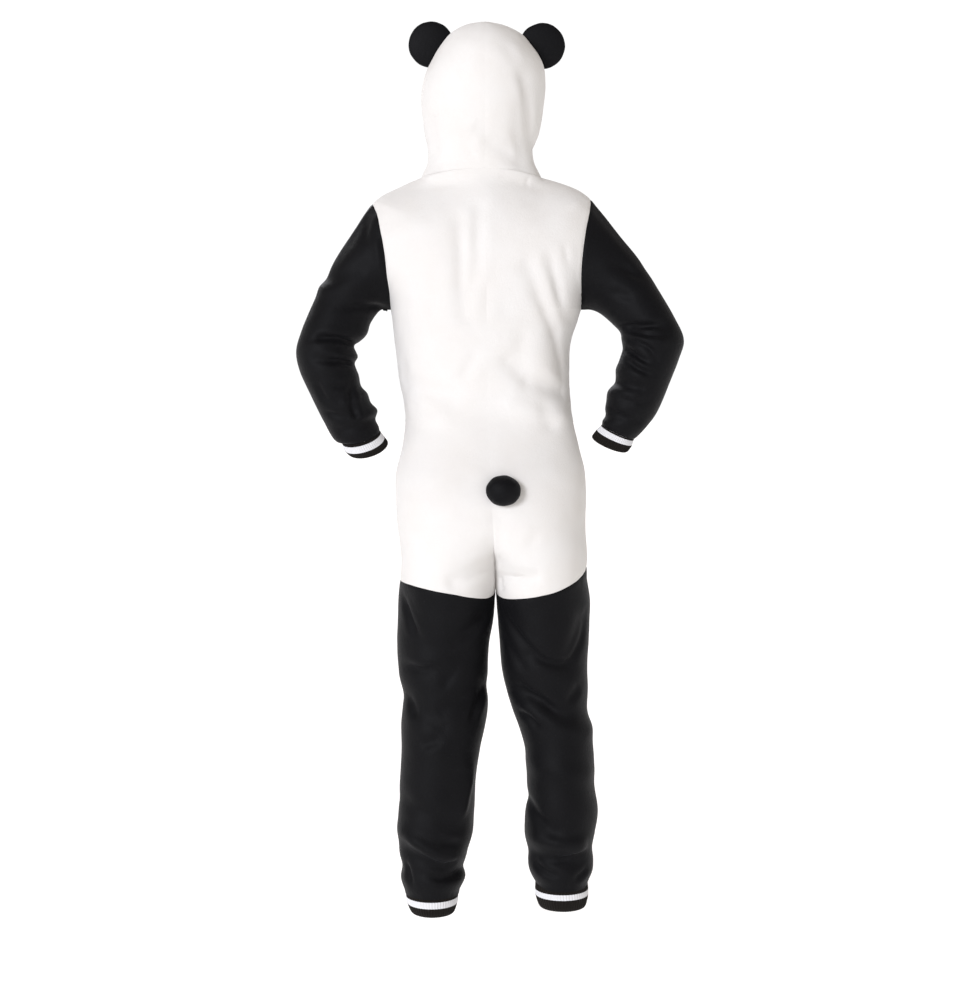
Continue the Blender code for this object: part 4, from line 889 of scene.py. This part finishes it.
# A wall of cloth: a grid bent onto the outer points, then extruded onto the inner ones.
def wallShape(outer, inner, closed, uvName=None):
    rows, columns = outer.shape[:2]
    across = columns if closed else columns - 1
    shape = bmesh.new()
    bmesh.ops.create_grid(shape, x_segments=across, y_segments=rows - 1, size=1)
    if uvName:
        uv = shape.loops.layers.uv.new(uvName)
        for face in shape.faces:
            for loop in face.loops:
                loop[uv].uv = ((loop.vert.co.x + 1) / 2, (1 - loop.vert.co.y) / 2)
    spot = shape.verts.layers.int.new("spot")
    for vert in shape.verts:
        row = round((1 - vert.co.y) / 2 * (rows - 1))
        column = round((vert.co.x + 1) / 2 * across) % columns
        vert[spot] = row * columns + column
        vert.co = Vector(outer[row, column]) * mm
    if closed:
        bmesh.ops.remove_doubles(shape, verts=shape.verts, dist=1e-7)
    extruded = bmesh.ops.extrude_face_region(shape, geom=shape.faces[:], use_keep_orig=True)
    lining = inner.reshape(-1, 3)
    for part in extruded["geom"]:
        if isinstance(part, bmesh.types.BMVert):
            part.co = Vector(lining[part[spot]]) * mm
    return shape


# The flat cuts are width and length in metres, and the share of that rectangle that is cloth.
panel = dict(thickness=2.2, sharpAngle=50, cuts=dict(
    back=(0.235, 0.660, 0.74), front=(0.225, 0.640, 0.74), sleeve=(0.350, 0.400, 0.62), leg=(0.460, 0.500, 0.78),
    hood=(0.275, 0.330, 0.72)))
for name, grid in grids.items():
    if name == "zip_tape":
        continue
    kind, side = name.split("_")
    finish, slot = (blackFleece, "black_fleece") if kind in ("sleeve", "leg") else (whiteFleece, "white_fleece")
    shape = wallShape(grid["points"], grid["points"] - panel["thickness"] * grid["normals"], grid["closed"])
    piece = finishPiece(kind + "Fleece" + side.capitalize(), shape, finish, name, panel["sharpAngle"])
    width, length, share = panel["cuts"][kind]
print("fleece panels made")

cuff = dict(ribs=56, columnsPerRib=6, ribHeight=1.0, rows=14, thickness=2.4, endRound=1.4, roundFrom=0.88,
            innerRound=0.6, sharpAngle=70)
cuffRings = {"sleeve": sleeveCuffs, "ankle": ankleCuffs}
cuffCuts = {"sleeve": {"left": dict(flat=(0.188, 0.021), stripe=(0.14, 0.55)),
                       "right": dict(flat=(0.172, 0.022), stripe=(0.08, 0.44))},
            "ankle": {"left": dict(flat=(0.260, 0.034), stripe=(0.27, 0.56)),
                      "right": dict(flat=(0.260, 0.038), stripe=(0.27, 0.50))}}


def cuffPiece(place, side):
    rows, cut = cuffRings[place][side], cuffCuts[place][side]
    last = len(rows["inner"]) - 1
    count = cuff["ribs"] * cuff["columnsPerRib"]
    turn = 2 * np.pi * np.arange(count) / count
    shares = np.arange(cuff["rows"] + 1) / cuff["rows"]
    if place == "sleeve":
        rings = [ringPoints(side, rows, at * last, turn) for at in shares]
    else:
        drops = smooth(np.arange(last + 1.0), rows["drop"], shares * last)
        rings = [legPoints(side, rows, np.full(count, drop), turn) for drop in drops]
    rings = np.array(rings)
    out = rings - rings.mean(axis=1, keepdims=True)
    out /= np.linalg.norm(out, axis=-1, keepdims=True)
    ribs = cuff["ribHeight"] * (0.5 + 0.5 * np.cos(turn * cuff["ribs"]))
    nearEnd = np.clip((shares - cuff["roundFrom"]) / (1 - cuff["roundFrom"]), 0, 1)
    rounding = cuff["endRound"] * (1 - np.sqrt(1 - nearEnd**2))
    outer = rings + out * (ribs[None, :, None] - rounding[:, None, None])
    inner = rings - out * (cuff["thickness"] - rounding[:, None, None] * cuff["innerRound"])
    name = place + "RibCuff" + side.capitalize()
    piece = finishPiece(name, wallShape(outer, inner, True, "knit"),
                        ribMaterial("ribKnit" + name, cuff["ribs"], cut["stripe"]),
                        place + "_cuff_" + side, cuff["sharpAngle"])


for side in sides:
    cuffPiece("sleeve", side)
    cuffPiece("ankle", side)
print("rib cuffs made")


# The outer surface of some panels, for what is sewn onto them.
def surfaceOf(names):
    corners, quads = [], []
    for name in names:
        points = grids[name]["points"]
        rows, columns = points.shape[:2]
        index = np.arange(rows * columns).reshape(rows, columns) + len(corners)
        corners.extend([Vector(p) for p in points.reshape(-1, 3)])
        loops = np.stack([index[:-1, :-1], index[:-1, 1:], index[1:, 1:], index[1:, :-1]], axis=-1).reshape(-1, 4)
        quads.extend((loops if grids[name]["flip"] > 0 else loops[:, ::-1]).tolist())
    return BVHTree.FromPolygons(corners, quads)


stuffed = dict(clearOfCloth=0.15, earFill=0.6, tailFill=0.7)
ear = dict(place={"left": (77.4, -4.0, 216.4), "right": (-92.0, -4.0, 214.0)}, radius=35.3, halfDepth=9.0,
           plump=0.85, seamSink=0.9, seamWidth=1.6, pucker=0.35, puckers=26, puckerDrift=3, rim=0.12,
           uneven=0.7, unevenWaves=(2.2, 2, 2.2))
tail = dict(x=-32.0, drop=458.0, radii=(26.0, 20.0, 23.0), sunk=0.35, standOff=3.0, uneven=0.9,
            unevenWaves=1.9, lookFrom=300)


def ballShape(around, rings):
    shape = bmesh.new()
    bmesh.ops.create_uvsphere(shape, u_segments=around, v_segments=rings, radius=1,
                              matrix=Matrix.Rotation(math.pi / 2, 4, "X"))
    return shape


# Presses a stuffed ball flat where it meets the cloth, and makes it a black fleece piece.
def stuffedPiece(name, shape, surface, node):
    clear = stuffed["clearOfCloth"]
    for vert in shape.verts:
        place, normal, _, _ = surface.find_nearest(vert.co)
        if place is not None and (vert.co - place).dot(normal) < clear:
            vert.co = place + normal * clear
    bmesh.ops.scale(shape, vec=(mm, mm, mm), verts=shape.verts)
    finishPiece(name, shape, blackFleece, node)


hoodSurface = surfaceOf(["hood_left", "hood_right"])
for side in sides:
    centre = Vector(ear["place"][side])
    shape = ballShape(72, 36)
    for vert in shape.verts:
        x, y, z = vert.co
        turn = math.atan2(z, x)
        depth = ear["halfDepth"] * math.copysign(abs(y) ** ear["plump"], y)
        ripple = (ear["pucker"] * math.sin(ear["puckers"] * turn + ear["puckerDrift"] * math.sin(2 * turn))
                  * math.exp(-((1 - math.hypot(x, z)) / ear["rim"]) ** 2))
        waves = ear["unevenWaves"]
        out = (ear["radius"] - ear["seamSink"] * math.exp(-(depth / ear["seamWidth"]) ** 2)
               + ear["uneven"] * noise.noise(Vector((x * waves[0], y * waves[1], z * waves[2] + centre.x))))
        vert.co = Vector((x * out, depth + (ripple if y >= 0 else -ripple), z * out)) + centre
    stuffedPiece("earFleece" + side.capitalize(), shape, hoodSurface, "ear_" + side)

seatSurface = surfaceOf(["back_left", "back_right"])
hit = seatSurface.ray_cast(Vector((tail["x"], tail["lookFrom"], -tail["drop"])), Vector((0, -1, 0)))[0]
centre = hit + Vector((0, tail["radii"][1] * (1 - 2 * tail["sunk"]) + tail["standOff"], 0))
shape = ballShape(64, 40)
for vert in shape.verts:
    bulge = 1 + tail["uneven"] / tail["radii"][0] * noise.noise(vert.co * tail["unevenWaves"])
    vert.co = Vector([vert.co[i] * tail["radii"][i] * bulge for i in range(3)]) + centre
stuffedPiece("tailFleece", shape, seatSurface, "tail")
print("ears and tail made")

zipper = dict(pitch=2.9, toothSize=(3.0, 1.5, 1.7), toothLift=0.5, toothOffset=1.1, toothBevel=0.3,
              firstTooth=2, endClear=15, lookAhead=3, toothAngle=40, tapeThickness=0.9, tapeSink=0.8,
              tapeAngle=50)


def zipPieces():
    tape = grids["zip_tape"]
    outer = tape["points"] - zipper["tapeSink"] * tape["normals"]
    shape = wallShape(outer, outer - zipper["tapeThickness"] * tape["normals"], False)
    piece = finishPiece("zipTapeWoven", shape, zipTapeWeave, "zip_tape", zipper["tapeAngle"])
    centreColumn = cells["zip"] // 2
    middle = outer[:, centreColumn]
    normals = tape["normals"][:, centreColumn]
    normals = normals / np.linalg.norm(normals, axis=1, keepdims=True)
    run = runAlong(middle)
    teeth = bmesh.new()
    for i in range(int((run[-1] - zipper["endClear"]) / zipper["pitch"])):
        at = zipper["firstTooth"] + i * zipper["pitch"]
        place, ahead, out = [np.array([np.interp(where, run, values[:, k]) for k in range(3)]) for where, values in
                             ((at, middle), (at + zipper["lookAhead"], middle), (at, normals))]
        along = Vector(ahead - place).normalized()
        out = Vector(out)
        out = (out - along * out.dot(along)).normalized()
        turned = Matrix((along.cross(out), out, along)).transposed().to_4x4()
        for side in (1, -1):
            tooth = bmesh.ops.create_cube(teeth, size=1)["verts"]
            bmesh.ops.scale(teeth, vec=Vector(zipper["toothSize"]), verts=tooth)
            bmesh.ops.translate(teeth, vec=(side * zipper["toothOffset"], zipper["toothLift"],
                                            side * zipper["pitch"] / 4), verts=tooth)
            bmesh.ops.transform(teeth, matrix=Matrix.Translation(Vector(place)) @ turned, verts=tooth)
    bmesh.ops.bevel(teeth, geom=teeth.edges[:], offset=zipper["toothBevel"], offset_type="OFFSET", segments=1,
                    profile=0.5, affect="EDGES", material=-1)
    bmesh.ops.scale(teeth, vec=(mm, mm, mm), verts=teeth.verts)
    finishPiece("zipTeethMoulded", teeth, zipTeethResin, sharpAngle=zipper["toothAngle"])


zipPieces()
for node in ("zip_slider", "zip_pull"):
    for slot in bpy.data.objects[node].material_slots:
        slot.material = lacqueredZinc
print("zip made")
